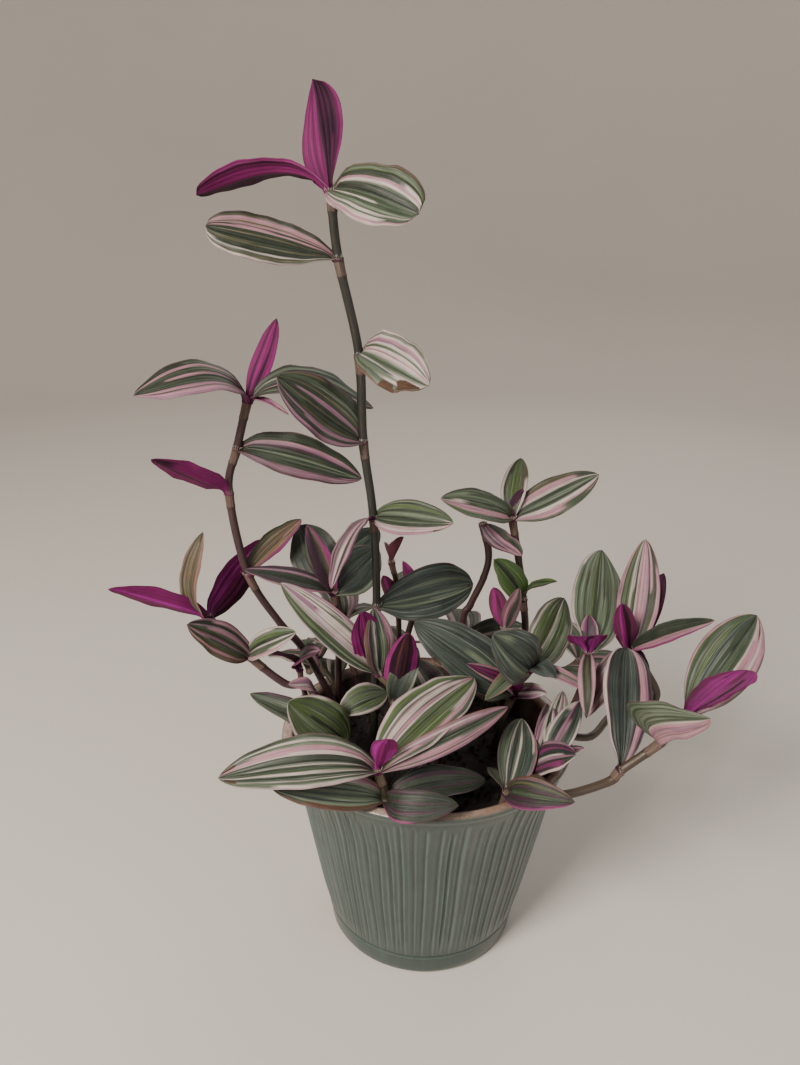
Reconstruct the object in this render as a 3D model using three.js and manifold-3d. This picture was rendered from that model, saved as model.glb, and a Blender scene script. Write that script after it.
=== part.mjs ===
// A tradescantia in a ribbed round pot: trailing, jointed stems with broad striped leaves.
// Millimetres, +Z up. The origin is the middle of the pot's underside.
import * as THREE from "three";
import { mergeVertices } from "three/addons/utils/BufferGeometryUtils.js";
import Module from "manifold-3d";

const wasm = await Module();
wasm.setup();

// ---- pot ----
const POT_HEIGHT = 116;
const RIM_RADIUS = 75;
const RIM_THICKNESS = 6;
const LIP = 4; // the smooth band under the rim's top edge
const WALL = 4.2;
const FLOOR = 7;
const FOOT_RADIUS = 51;
const FOOT_HEIGHT = 12.5;
const FOOT_EDGE = 1.5; // how far its lower edge is rounded
const FOOT_TAPER = 0.8; // how much narrower it is just above that edge
const GROOVE = 0.9; // depth of the ring cut above the foot
const RIB_COUNT = 50;
const RIB_DEPTH = 1.2;
const RIB_TOP = 109; // the ribs run from the foot to this height
// Heights and outer radii of the wall: a straight cone that flares above FLARE into the rim.
const FLARE = 90;
const WALL_OUTLINE = [[13.4, 52], [56, 59.3], [FLARE, 65.6], [RIB_TOP, 71.6]];

// ---- soil ----
const SOIL_LEVEL = 102;
const SOIL_EDGE = 2; // how far the surface drops towards the wall
const SOIL_SECTORS = 24;
// Rings of the lumpy surface: share of the radius, height above the level, height of the lumps.
const SOIL_RINGS = [[0.72, 0, 2.2], [0.4, 1, -2.2]];
const CLEARANCE = 0.3; // between pieces that touch
const FACET_SLACK = 0.2; // a facet's middle lies this far inside its circle at most

// ---- stems and leaves ----
const STEM_SIDES = 5;
const SHEATH_LENGTH = 9; // the sheath that wraps a stem below each leaf
const SHEATH_START = 0.4; // how far a sheath stands off its stem at its lower and upper end
const SHEATH_END = 1.0;
const SHEATH_SHARE = 0.6; // the most of a short internode that a sheath takes
const SHEATH_STEP = 0.04; // share of the next internode over which the stem narrows again
const BLADE_THICKNESS = 0.9;
const BLADE_ROWS = [0, 0.13, 0.36, 0.62, 0.84]; // stations along a blade, before its tip
const SHORT_BLADE_ROWS = [0, 0.3, 0.68];
const SHORT_BLADE = 26; // a blade under this length has fewer stations
const BASE_POWER = 0.6; // how quickly a blade widens from its base
const TIP_POWER = 0.7; // and how quickly it narrows to its tip
const WIDEST = BASE_POWER / (BASE_POWER + TIP_POWER);
const BASE_SHARE = 0.14; // least share of its width that a blade has beside its base
const BOW_RISE = 5.4; // an arched blade rises soon after its base
const BOW_DROOP = 3.4; // and then droops
const WELD = 1e-4; // corners closer than this are one

// Each row is a leafy stem: its name, its radius, the joints that it passes from the soil up,
// and its leaves. A leaf's row is the number of its joint, the place of its tip, the way its
// upper side faces, its width, how far it arches (in lengths), how far its halves fold up (in
// degrees) and, for a blade that bends sideways, how far it does (in lengths).
const STEMS = [
  ["stem_tall", 2,
    [[-28, 8, 86], [-27, 7, 182], [-29, 6, 229], [-34, 5, 267], [-36, 4, 307], [-45, 3, 348], [-48, 2, 375]],
    [
      [1, [24, 38, 181], [-0.1, -1, 0.6], 29, 0.02, 8],
      [2, [8, -24, 237], [0, -1, 0.7], 18, 0.04, 8],
      [2, [-46, -36, 209], [-0.7, -0.8, 0.3], 14, 0.1, 12],
      [3, [-71, -13, 299], [0.2, -0.9, 0.6], 27, 0, 8],
      [4, [-5, -28, 299], [0.2, -1, 0.5], 26, 0.14, 8],
      [5, [-99, -9, 360], [0.1, -1, 0.4], 21, 0, 8],
      [6, [-11, -28, 366], [0.1, -1, 0.6], 30, 0.1, 6],
      [6, [-56, 13, 418], [0, 1, 0.2], 21, 0.02, 20],
      [6, [-105, 4, 372], [0, 0.5, 0.85], 18, 0.17, 14],
    ]],
  ["stem_left_high", 1.9,
    [[-36, 20, 86], [-63, 17, 146], [-77, 14, 167], [-92, 11, 196], [-99, 10, 239],
      [-94, 10, 261], [-88, 10, 284]],
    [
      [3, [-68, 40, 215], [-0.3, -0.7, 0.6], 15, 0.02, 22],
      [4, [-127, -18, 262], [0.3, 1, 0.2], 16, 0, 10],
      [5, [-35, 16, 245], [0.1, -0.8, 0.7], 23, 0.1, 8],
      [6, [-131, -22, 291], [0, -0.6, 1], 25, 0.2, 10],
      [6, [-75, 21, 320], [0.3, 1, 0.2], 11, 0, 14],
      [6, [-30, 25, 278], [0, -0.5, 1], 22, 0.22, 12],
      [6, [-68, 2, 279], [0, -0.3, 1], 5, 0.1, 30],
    ]],
  ["stem_left_low", 1.9,
    [[-50, 0, 86], [-59, 2, 133], [-74, 3, 138], [-92, 4, 153], [-112, 6, 173]],
    [
      [3, [-116, -20, 182], [0.1, -0.8, 0.8], 19, 0.04, 6],
      [3, [-65, -14, 176], [0, -0.8, 0.9], 15, 0.08, 12],
      [4, [-152, -19, 199], [0, 1, 0.3], 15, 0.02, 22],
      [4, [-112, 7, 219], [-1, -1, 0.2], 17, 0.2, 12],
      [4, [-89, 48, 200], [-0.2, 1, 0.3], 21, 0, 6],
      [1, [-71, -7, 143], [0, -0.5, 1], 9, 0.2, 20],
    ]],
  ["stem_left_front", 1.6,
    [[-42, -26, 86], [-41, -24, 121], [-45, -20, 134]],
    [
      [1, [-66, -41, 154], [0, -1, 0.8], 26, 0.07, 4],
      [2, [-21, -2, 137], [0, -0.8, 0.8], 16, 0.24, 8],
      [1, [-90, -8, 138], [0, -0.5, 1], 14, 0.08, 14],
    ]],
  ["stem_left_bud", 1.4,
    [[-55, 12, 86], [-65, 10, 130], [-67, 10, 143]],
    [
      [2, [-82, -6, 160], [0, 0.3, 1], 10, 0.1, 26],
      [2, [-54, -8, 163], [0, -0.6, 1], 14, 0.12, 14],
    ]],
  ["stem_front", 2,
    [[-19, -53, 86], [-20, -62, 118], [-24, -62, 133]],
    [
      [2, [-92, -76, 137], [0, -0.6, 1], 25, 0.17, 8],
      [1, [-71, -72, 131], [0, -0.7, 1], 20, 0.06, 6],
      [2, [22, -14, 153], [-0.3, -0.7, 0.8], 29, 0.11, 10],
      [2, [37, -32, 148], [0.1, -0.9, 0.5], 13, 0.11, 10],
      [2, [-20, -71, 155], [0.2, 1, 0], 14, 0, 34],
      [1, [-1, -34, 118], [-0.3, -0.9, 0.5], 8, 0.05, 18],
      [1, [12, -77, 126], [0, -0.8, 0.8], 15, 0.26, 8, 0.12],
      [1, [27, -46, 117], [0, -0.5, 1], 17, 0.12, 12],
    ]],
  ["stem_front_right", 1.8,
    [[31, -48, 86], [36, -55, 117]],
    [
      [1, [47, -15, 131], [0, -1, 0.4], 20, 0.06, 8],
      [1, [61, -81, 132], [0, -0.9, 0.8], 15, 0.14, 6],
      [1, [30, -32, 114], [0.3, -1, 0.3], 10, 0.05, 14],
    ]],
  ["stem_rim_right", 1.5,
    [[46, -32, 86], [54, -31, 112], [58, -36, 119]],
    [
      [2, [69, -1, 139], [-0.2, -1, 0.3], 12, 0.05, 20],
      [1, [65, -58, 140], [0, -0.8, 1], 18, 0.14, 6],
      [2, [71, -48, 137], [0, -0.5, 1], 7, 0.1, 24],
      [2, [75, -14, 141], [-0.5, -0.9, 0.2], 14, 0.1, 14],
      [1, [60, -10, 137], [0, -1, 0.3], 11, 0.1, 16],
      [1, [62, -14, 137], [0.1, -1, 0.4], 13, 0.1, 16],
    ]],
  ["stem_right_long", 2,
    [[33, -42, 86], [48.3, -48.6, 119.5], [58, -60, 119.5], [82, -53, 122], [88, -52, 128],
      [106, -49, 142], [117, -46, 155]],
    [
      [4, [97, -8, 168], [0.05, -1, 0.35], 25, 0.05, 12],
      [5, [113, -80, 174], [-0.2, -1, 0.5], 24, 0.15, 4, -0.3],
      [6, [156, -12, 189], [-0.5, -1, 0.3], 28, 0.14, 8],
      [6, [126, -77, 195], [-0.1, 1, 0.3], 23, 0, 6],
    ]],
  ["stem_right_high", 1.9,
    [[52, -16, 86], [64, -14, 118], [83, -12, 119.5], [98, 4, 123], [120, 8, 130], [113, 6, 147],
      [101, 2, 161]],
    [
      [6, [108, 20, 215], [0, -1, 0.3], 22, 0.02, 14],
      [6, [92, -8, 192], [0, 1, 0.2], 12, 0, 24],
      [6, [131, -25, 192], [0, -0.6, 1], 13, 0.05, 14],
      [6, [75, -29, 141], [-0.6, -0.8, 0.3], 14, 0.12, 14],
      [6, [117, 12, 200], [0.5, 0.9, 0.2], 14, 0.05, 20],
      [6, [109, -10, 156], [0.3, 0.8, 0.3], 11, 0.05, 10],
    ]],
  ["stem_right_mid", 1.7,
    [[46, -8, 86], [70, -6, 125], [77, -8, 148], [78, -9, 166]],
    [
      [3, [93, 45, 199], [0.25, -1, 0.5], 30, 0.04, 4],
      [3, [73, -24, 182], [0, 0.8, 0.8], 20, 0.1, 12],
      [3, [79, 2, 181], [0, -1, 0.1], 10, 0, 26],
      [3, [73, -39, 147], [-0.3, -1, 0.2], 9, 0.1, 20],
    ]],
  ["stem_mid", 1.8,
    [[32, 2, 86], [43, -3, 137], [50, -6, 154]],
    [
      [1, [-8, 4, 174], [0.2, -0.8, 0.8], 29, 0.1, 6],
      [2, [28, -28, 184], [0, -1, 0.6], 26, 0.14, 4],
      [2, [72, 30, 177], [0.2, -1, 0.4], 24, 0.06, 12],
      [2, [76, -28, 155], [0, -0.2, 1], 10, 0.08, 18],
      [1, [28, -24, 146], [0, -0.4, 1], 8, 0.1, 20],
      [2, [26, -30, 150], [0, -0.5, 1], 10, 0.15, 24],
      [1, [44, -12, 157], [0.4, 1, 0], 8, 0, 20],
      [1, [59, -12, 144], [0, -0.5, 1], 11, 0.1, 16],
      [2, [60, -23, 159], [0, -0.4, 1], 13, 0.15, 14],
      [1, [17, -22, 165], [-0.3, -0.6, 0.8], 9, 0.14, 20],
    ]],
  ["stem_back_right", 1.8,
    [[36, 34, 86], [51, 26, 147], [49, 23, 180], [45, 21, 202], [40, 20, 225]],
    [
      [2, [31, 11, 206], [0.4, -0.9, 0.4], 16, 0.06, 8],
      [2, [63, 8, 196], [-0.2, -0.3, 1], 8, 0.12, 20],
      [4, [3, 2, 240], [0, -0.8, 0.9], 18, 0.06, 10],
      [4, [46, 46, 249], [-0.4, -1, 0.3], 14, 0.1, 14],
      [4, [84, 32, 245], [0.1, -0.8, 0.7], 20, 0, 8],
      [4, [45, 24, 239], [0, 1, 0.2], 8, 0, 30],
    ]],
  ["stem_small_cup", 1.3,
    [[22, 18, 86], [40, 14, 151], [39, 13, 167]],
    [
      [2, [32, 13, 190], [0, 1, 0.3], 11, 0, 30],
      [2, [44, 4, 194], [-0.2, -1, 0.3], 9, 0, 26],
    ]],
  ["stem_back_mid", 1.8,
    [[14, 30, 86], [18, 27, 160], [22, 26, 174], [28, 25, 190], [30, 25, 203], [26, 25, 220]],
    [
      [5, [42, -7, 215], [0.4, -1, 0.4], 14, -0.06, 8],
    ]],
  ["stem_mid_left", 1.8,
    [[-26, -14, 86], [-17, -15, 139], [-25, -14, 155]],
    [
      [2, [-72, -12, 201], [0.4, -1, 0.5], 18, 0.05, 8],
      [2, [-33, -23, 192], [-0.5, 1, 0.1], 17, 0.05, 8],
      [2, [-28, -16, 191], [0.6, -1, 0.2], 17, 0.06, 10],
      [1, [-11, -28, 184], [0, 1, 0.3], 16, 0.03, 16],
      [1, [-6, -10, 167], [-0.3, -1, 0.3], 14, 0.2, 16],
    ]],
  ["stem_left_back", 1.7,
    [[-49, 28, 86], [-47, 16, 157], [-49, 12, 186]],
    [
      [2, [-91, -2, 203], [0, -0.5, 1], 14, 0.03, 12],
      [2, [-62, 12, 222], [0.3, -1, 0], 13, 0.03, 30],
      [2, [-69, 45, 210], [-0.3, -0.6, 0.8], 26, 0.06, 6],
      [2, [-27, 36, 201], [0.1, -0.9, 0.4], 24, 0.04, 6],
    ]],
  ["stem_funnel", 1.4,
    [[-14, 28, 86], [-16, 24, 173], [-20, 23, 199]],
    [
      [2, [-14, 19, 214], [-0.6, 0.6, 0.2], 10, 0, 36],
      [2, [-24, 32, 206], [0.5, -1, 0.3], 7, 0, 36],
      [1, [-24, 16, 194], [0, 1, 0.3], 9, 0, 18],
    ]],
  ["stem_centre", 1.5,
    [[4, -12, 86], [9, -17, 137]],
    [
      [1, [-7, 16, 146], [0.2, -0.9, 0.5], 15, 0.1, 12],
      [1, [23, 13, 144], [0, 1, 0.3], 13, 0.05, 12],
      [1, [0, -46, 126], [0.2, -0.6, 1], 12, 0.1, 10],
    ]],
  ["stem_rear_left", 1.8,
    [[-34, 40, 86], [-42, 52, 124], [-48, 58, 146], [-54, 62, 176]],
    [
      [1, [-70, 84, 122], [-0.2, 0.5, 1], 22, 0.14, 8],
      [2, [-58, 104, 146], [0, 0.6, 1], 24, 0.14, 8],
      [2, [-24, 92, 140], [0.2, 0.6, 1], 22, 0.12, 8],
      [3, [-78, 92, 184], [-0.2, 0.8, 1], 20, 0.1, 10],
      [3, [-28, 84, 194], [0.2, -0.8, 0.6], 20, 0.06, 12],
    ]],
  ["stem_rear_middle", 1.8,
    [[-14, 50, 86], [-12, 58, 128], [-6, 64, 154]],
    [
      [1, [-34, 96, 126], [-0.2, 0.8, 1], 21, 0.12, 8],
      [2, [22, 92, 150], [0.3, 0.6, 1], 22, 0.1, 8],
      [2, [-10, 112, 156], [0, 0.5, 1], 24, 0.14, 8],
      [2, [-14, 76, 178], [0.4, 1, 0.1], 12, 0, 34],
    ]],
  ["stem_rear_right", 1.7,
    [[10, 48, 86], [18, 58, 118], [24, 64, 134]],
    [
      [1, [-8, 100, 112], [-0.2, 0.8, 1], 20, 0.16, 8],
      [1, [54, 82, 118], [0.2, 0.5, 1], 21, 0.12, 8],
      [2, [22, 110, 132], [0, 0.6, 1], 22, 0.12, 10],
      [2, [58, 56, 146], [0.1, -0.8, 0.8], 18, 0.06, 12],
    ]],
  ["stem_rear_trailing", 1.7,
    [[40, 38, 86], [50, 43, 118.6], [66, 56, 120], [82, 68, 112], [94, 76, 114]],
    [
      [2, [62, 96, 124], [-0.2, 0.6, 1], 20, 0.1, 8],
      [3, [104, 40, 112], [0.2, -0.4, 1], 20, 0.12, 8],
      [4, [88, 112, 126], [0, 0.6, 1], 20, 0.08, 10],
      [4, [132, 72, 112], [0.2, -0.2, 1], 20, 0.08, 10],
    ]],
  ["stem_rear_low", 1.7,
    [[-44, 33, 86], [-52, 39, 117.6], [-62, 50, 120], [-68, 60, 113]],
    [
      [1, [-56, 82, 108], [0, 0.6, 1], 18, 0.16, 8],
      [2, [-94, 74, 116], [-0.2, 0.3, 1], 20, 0.12, 8],
      [3, [-66, 102, 114], [0, 0.5, 1], 20, 0.12, 8],
    ]],
];

// ---- solids ----
function solidFrom(geometry) {
  const bare = geometry.index ? geometry.toNonIndexed() : geometry.clone();
  bare.deleteAttribute("normal");
  bare.deleteAttribute("uv");
  const merged = mergeVertices(bare, WELD);
  return new wasm.Manifold(
    new wasm.Mesh({
      numProp: 3,
      vertProperties: merged.attributes.position.array,
      triVerts: new Uint32Array(merged.index.array),
    }),
  );
}

function geometryFrom(solid) {
  const { vertProperties, triVerts } = solid.getMesh();
  const geometry = new THREE.BufferGeometry();
  geometry.setAttribute("position", new THREE.BufferAttribute(vertProperties, 3));
  geometry.setIndex(new THREE.BufferAttribute(triVerts, 1));
  geometry.computeVertexNormals();
  return geometry;
}

function indexed(points, faces) {
  const geometry = new THREE.BufferGeometry();
  geometry.setAttribute("position", new THREE.Float32BufferAttribute(points.flatMap((p) => p.toArray()), 3));
  geometry.setIndex(faces.flat());
  return geometry;
}

// Stations of [radius, height, how deep a groove between ribs goes], turned about Z. Every other
// column of a ribbed station lies in a groove.
function turned(stations, columns) {
  const points = stations.flatMap(([r, z, groove = 0]) =>
    Array.from({ length: columns }, (_, i) => {
      const radius = i % 2 ? r - groove : r;
      const angle = (2 * Math.PI * i) / columns;
      return new THREE.Vector3(radius * Math.cos(angle), radius * Math.sin(angle), z);
    }),
  );
  const faces = [];
  for (let row = 0; row + 1 < stations.length; row++)
    for (let i = 0; i < columns; i++) {
      const a = row * columns + i;
      const b = row * columns + ((i + 1) % columns);
      faces.push([a, b, b + columns], [a, b + columns, a + columns]);
    }
  const under = points.push(new THREE.Vector3(0, 0, stations[0][1])) - 1;
  const over = points.push(new THREE.Vector3(0, 0, stations.at(-1)[1])) - 1;
  const last = (stations.length - 1) * columns;
  for (let i = 0; i < columns; i++) {
    const next = (i + 1) % columns;
    faces.push([under, next, i], [over, last + i, last + next]);
  }
  return solidFrom(indexed(points, faces));
}

// ---- pot ----
function wallRadius(height) {
  const upper = Math.max(1, WALL_OUTLINE.findIndex(([z]) => z >= height));
  const [z0, r0] = WALL_OUTLINE[upper - 1];
  const [z1, r1] = WALL_OUTLINE[upper];
  return r0 + ((r1 - r0) * (height - z0)) / (z1 - z0);
}

// The inside follows the outside up to the flare and then runs straight to the rim.
function boreRadius(height) {
  if (height <= FLARE) return wallRadius(height) - WALL;
  const share = (height - FLARE) / (POT_HEIGHT - FLARE);
  return (1 - share) * boreRadius(FLARE) + share * (RIM_RADIUS - RIM_THICKNESS);
}

function potSolid() {
  const outside = [
    [FOOT_RADIUS - FOOT_EDGE, 0],
    [FOOT_RADIUS - FOOT_TAPER, FOOT_EDGE],
    [FOOT_RADIUS, FOOT_HEIGHT - GROOVE],
    [FOOT_RADIUS - GROOVE, FOOT_HEIGHT],
    ...WALL_OUTLINE.map(([z, r]) => [r, z, RIB_DEPTH]),
    [RIM_RADIUS - LIP / 4, POT_HEIGHT - LIP],
    [RIM_RADIUS, POT_HEIGHT - LIP / 2],
    [RIM_RADIUS - LIP / 4, POT_HEIGHT],
  ];
  const inside = [
    [boreRadius(FLOOR), FLOOR],
    [boreRadius(FLARE), FLARE],
    [boreRadius(POT_HEIGHT), POT_HEIGHT],
    [RIM_RADIUS, POT_HEIGHT + LIP],
  ];
  return turned(outside, 2 * RIB_COUNT).subtract(turned(inside, RIB_COUNT));
}

// ---- soil ----
function soilSolid(stemHoles) {
  const fit = CLEARANCE + FACET_SLACK;
  const edge = boreRadius(SOIL_LEVEL - SOIL_EDGE) - fit;
  const ball = turned(
    [
      [boreRadius(FLOOR) - fit, FLOOR + CLEARANCE],
      [boreRadius(FLARE) - fit, FLARE],
      [edge, SOIL_LEVEL - SOIL_EDGE],
      ...SOIL_RINGS.map(([share, rise, lump]) => [edge * share, SOIL_LEVEL + rise, lump]),
    ],
    SOIL_SECTORS,
  );
  return stemHoles.reduce((soil, hole) => soil.subtract(hole), ball);
}

// ---- stems ----
const vector = ([x, y, z]) => new THREE.Vector3(x, y, z);

// A stem follows a smooth curve through its joints. Its stations are [place, radius], where
// the place counts joints from the soil.
function tubeSolid(joints, stations) {
  const curve = new THREE.CatmullRomCurve3(joints.map(vector), false, "catmullrom", 0.5);
  const normal = new THREE.Vector3(1, 0, 0);
  const centres = [];
  const points = stations.flatMap(([place, radius]) => {
    const centre = curve.getPoint(place / (joints.length - 1));
    const tangent = curve.getTangent(place / (joints.length - 1));
    normal.addScaledVector(tangent, -normal.dot(tangent)).normalize();
    const across = new THREE.Vector3().crossVectors(tangent, normal);
    centres.push(centre);
    return Array.from({ length: STEM_SIDES }, (_, i) => {
      const angle = (2 * Math.PI * i) / STEM_SIDES;
      return centre
        .clone()
        .addScaledVector(normal, radius * Math.cos(angle))
        .addScaledVector(across, radius * Math.sin(angle));
    });
  });
  const faces = [];
  for (let row = 0; row + 1 < stations.length; row++)
    for (let i = 0; i < STEM_SIDES; i++) {
      const a = row * STEM_SIDES + i;
      const b = row * STEM_SIDES + ((i + 1) % STEM_SIDES);
      faces.push([a, b, b + STEM_SIDES], [a, b + STEM_SIDES, a + STEM_SIDES]);
    }
  const foot = points.push(centres[0]) - 1;
  const head = points.push(centres.at(-1)) - 1;
  const last = (stations.length - 1) * STEM_SIDES;
  for (let i = 0; i < STEM_SIDES; i++) {
    const next = (i + 1) % STEM_SIDES;
    faces.push([foot, next, i], [head, last + i, last + next]);
  }
  return solidFrom(indexed(points, faces));
}

// Below each joint that bears a leaf the stem thickens into a sheath that opens upwards.
function stemStations(joints, radius, sheathed) {
  const stations = [[0, radius]];
  for (let joint = 1; joint < joints.length; joint++) {
    const last = joint === joints.length - 1;
    if (!sheathed.has(joint)) {
      stations.push([joint, radius]);
      continue;
    }
    const length = vector(joints[joint]).distanceTo(vector(joints[joint - 1]));
    const start = joint - Math.min(SHEATH_LENGTH / length, SHEATH_SHARE);
    stations.push([(joint - 1 + start) / 2, radius], [start, radius + SHEATH_START]);
    stations.push([joint, radius + SHEATH_END]);
    if (!last) stations.push([joint + SHEATH_STEP, radius]);
  }
  return stations;
}

// ---- leaves ----
function bladeProfile(t) {
  return Math.pow(t / WIDEST, BASE_POWER) * Math.pow((1 - t) / (1 - WIDEST), TIP_POWER);
}

function bladeBow(t) {
  return t * (1 - t) * (BOW_RISE - BOW_DROOP * t);
}

// A blade from its joint to its tip: an arched midrib with a raised half on each side.
function bladeSolid(base, tip, facing, width, arch, foldDegrees, lean = 0) {
  const reach = tip.clone().sub(base);
  const length = reach.length();
  const along = reach.clone().normalize();
  const up = facing.clone().addScaledVector(along, -facing.dot(along)).normalize();
  const side = new THREE.Vector3().crossVectors(along, up);
  const fold = THREE.MathUtils.degToRad(foldDegrees);
  const skin = BLADE_THICKNESS / 2;
  const upper = [];
  const lower = [];
  const place = (t, across) => {
    const half = (width / 2) * Math.max(bladeProfile(t), t < WIDEST ? BASE_SHARE : 0);
    const centre = base
      .clone()
      .addScaledVector(reach, t)
      .addScaledVector(up, arch * length * bladeBow(t))
      .addScaledVector(side, lean * length * bladeBow(t));
    centre.addScaledVector(side, half * across * Math.cos(fold));
    centre.addScaledVector(up, half * Math.abs(across) * Math.sin(fold));
    upper.push(centre.clone().addScaledVector(up, skin));
    lower.push(centre.clone().addScaledVector(up, -skin));
  };
  const rows = length < SHORT_BLADE ? SHORT_BLADE_ROWS : BLADE_ROWS;
  for (const t of rows) for (const across of [-1, 0, 1]) place(t, across);
  place(1, 0);
  const count = upper.length;
  const end = count - 1;
  const top = [];
  for (let row = 0; row + 1 < rows.length; row++)
    for (const column of [0, 1]) {
      const a = 3 * row + column;
      top.push([a, a + 1, a + 4], [a, a + 4, a + 3]);
    }
  const tipRow = end - 3;
  top.push([tipRow, tipRow + 1, end], [tipRow + 1, tipRow + 2, end]);
  const bottom = top.map(([a, b, c]) => [a + count, c + count, b + count]);
  const rim = [0, 1, 2];
  for (let row = 1; row < rows.length; row++) rim.push(3 * row + 2);
  rim.push(end);
  for (let row = rows.length - 1; row > 0; row--) rim.push(3 * row);
  const wall = rim.flatMap((a, i) => {
    const b = rim[(i + 1) % rim.length];
    return [[a, a + count, b + count], [a, b + count, b]];
  });
  return solidFrom(indexed([...upper, ...lower], [...top, ...bottom, ...wall]));
}

const leafJoints = (leaves) => new Set(leaves.map(([joint]) => joint));

function leafyStem([, radius, joints, leaves]) {
  const stem = tubeSolid(joints, stemStations(joints, radius, leafJoints(leaves)));
  const blades = leaves.map(([joint, tip, facing, ...form]) =>
    bladeSolid(vector(joints[joint]), vector(tip), vector(facing), ...form),
  );
  return blades.reduce((whole, blade) => whole.add(blade), stem);
}

// ---- the whole plant ----
const plant = new THREE.Group();

function addPiece(name, solid, color, roughness) {
  const material = new THREE.MeshStandardMaterial({ color, roughness, metalness: 0 });
  const piece = new THREE.Mesh(geometryFrom(solid), material);
  piece.name = name;
  plant.add(piece);
}

// The hole round a stem's foot follows the stem's own stations.
const holes = STEMS.map(([, radius, joints, leaves]) => {
  const buried = stemStations(joints, radius, leafJoints(leaves)).filter(([place]) => place <= 1);
  const [x, y, z] = joints[0];
  const deeper = [[x, y, z - CLEARANCE], ...joints.slice(1)];
  return tubeSolid(deeper, buried.map(([place, r]) => [place, r + CLEARANCE]));
});
addPiece("pot", potSolid(), 0x8b948b, 0.25);
addPiece("soil", soilSolid(holes), 0x2c2019, 0.95);
for (const stem of STEMS) addPiece(stem[0], leafyStem(stem), 0x56694a, 0.45);

export default plant;
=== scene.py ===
"""A tradescantia in a ribbed, glazed pot: striped leaves on jointed stems over dark soil."""

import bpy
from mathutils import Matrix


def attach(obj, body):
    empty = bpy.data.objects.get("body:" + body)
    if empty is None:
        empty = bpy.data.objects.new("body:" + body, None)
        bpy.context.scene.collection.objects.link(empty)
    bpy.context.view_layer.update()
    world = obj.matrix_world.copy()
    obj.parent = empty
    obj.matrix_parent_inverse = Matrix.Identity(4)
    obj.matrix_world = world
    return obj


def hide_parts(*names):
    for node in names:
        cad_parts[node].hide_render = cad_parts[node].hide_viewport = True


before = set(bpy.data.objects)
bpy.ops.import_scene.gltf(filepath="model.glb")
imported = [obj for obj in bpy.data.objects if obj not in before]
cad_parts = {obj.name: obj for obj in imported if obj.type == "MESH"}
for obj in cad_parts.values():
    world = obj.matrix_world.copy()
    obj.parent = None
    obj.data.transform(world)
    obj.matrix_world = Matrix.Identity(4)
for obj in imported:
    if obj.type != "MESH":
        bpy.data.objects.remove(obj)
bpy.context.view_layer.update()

import math

import bpy
import numpy as np
from mathutils import Matrix, Vector

MM = 0.001

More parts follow.
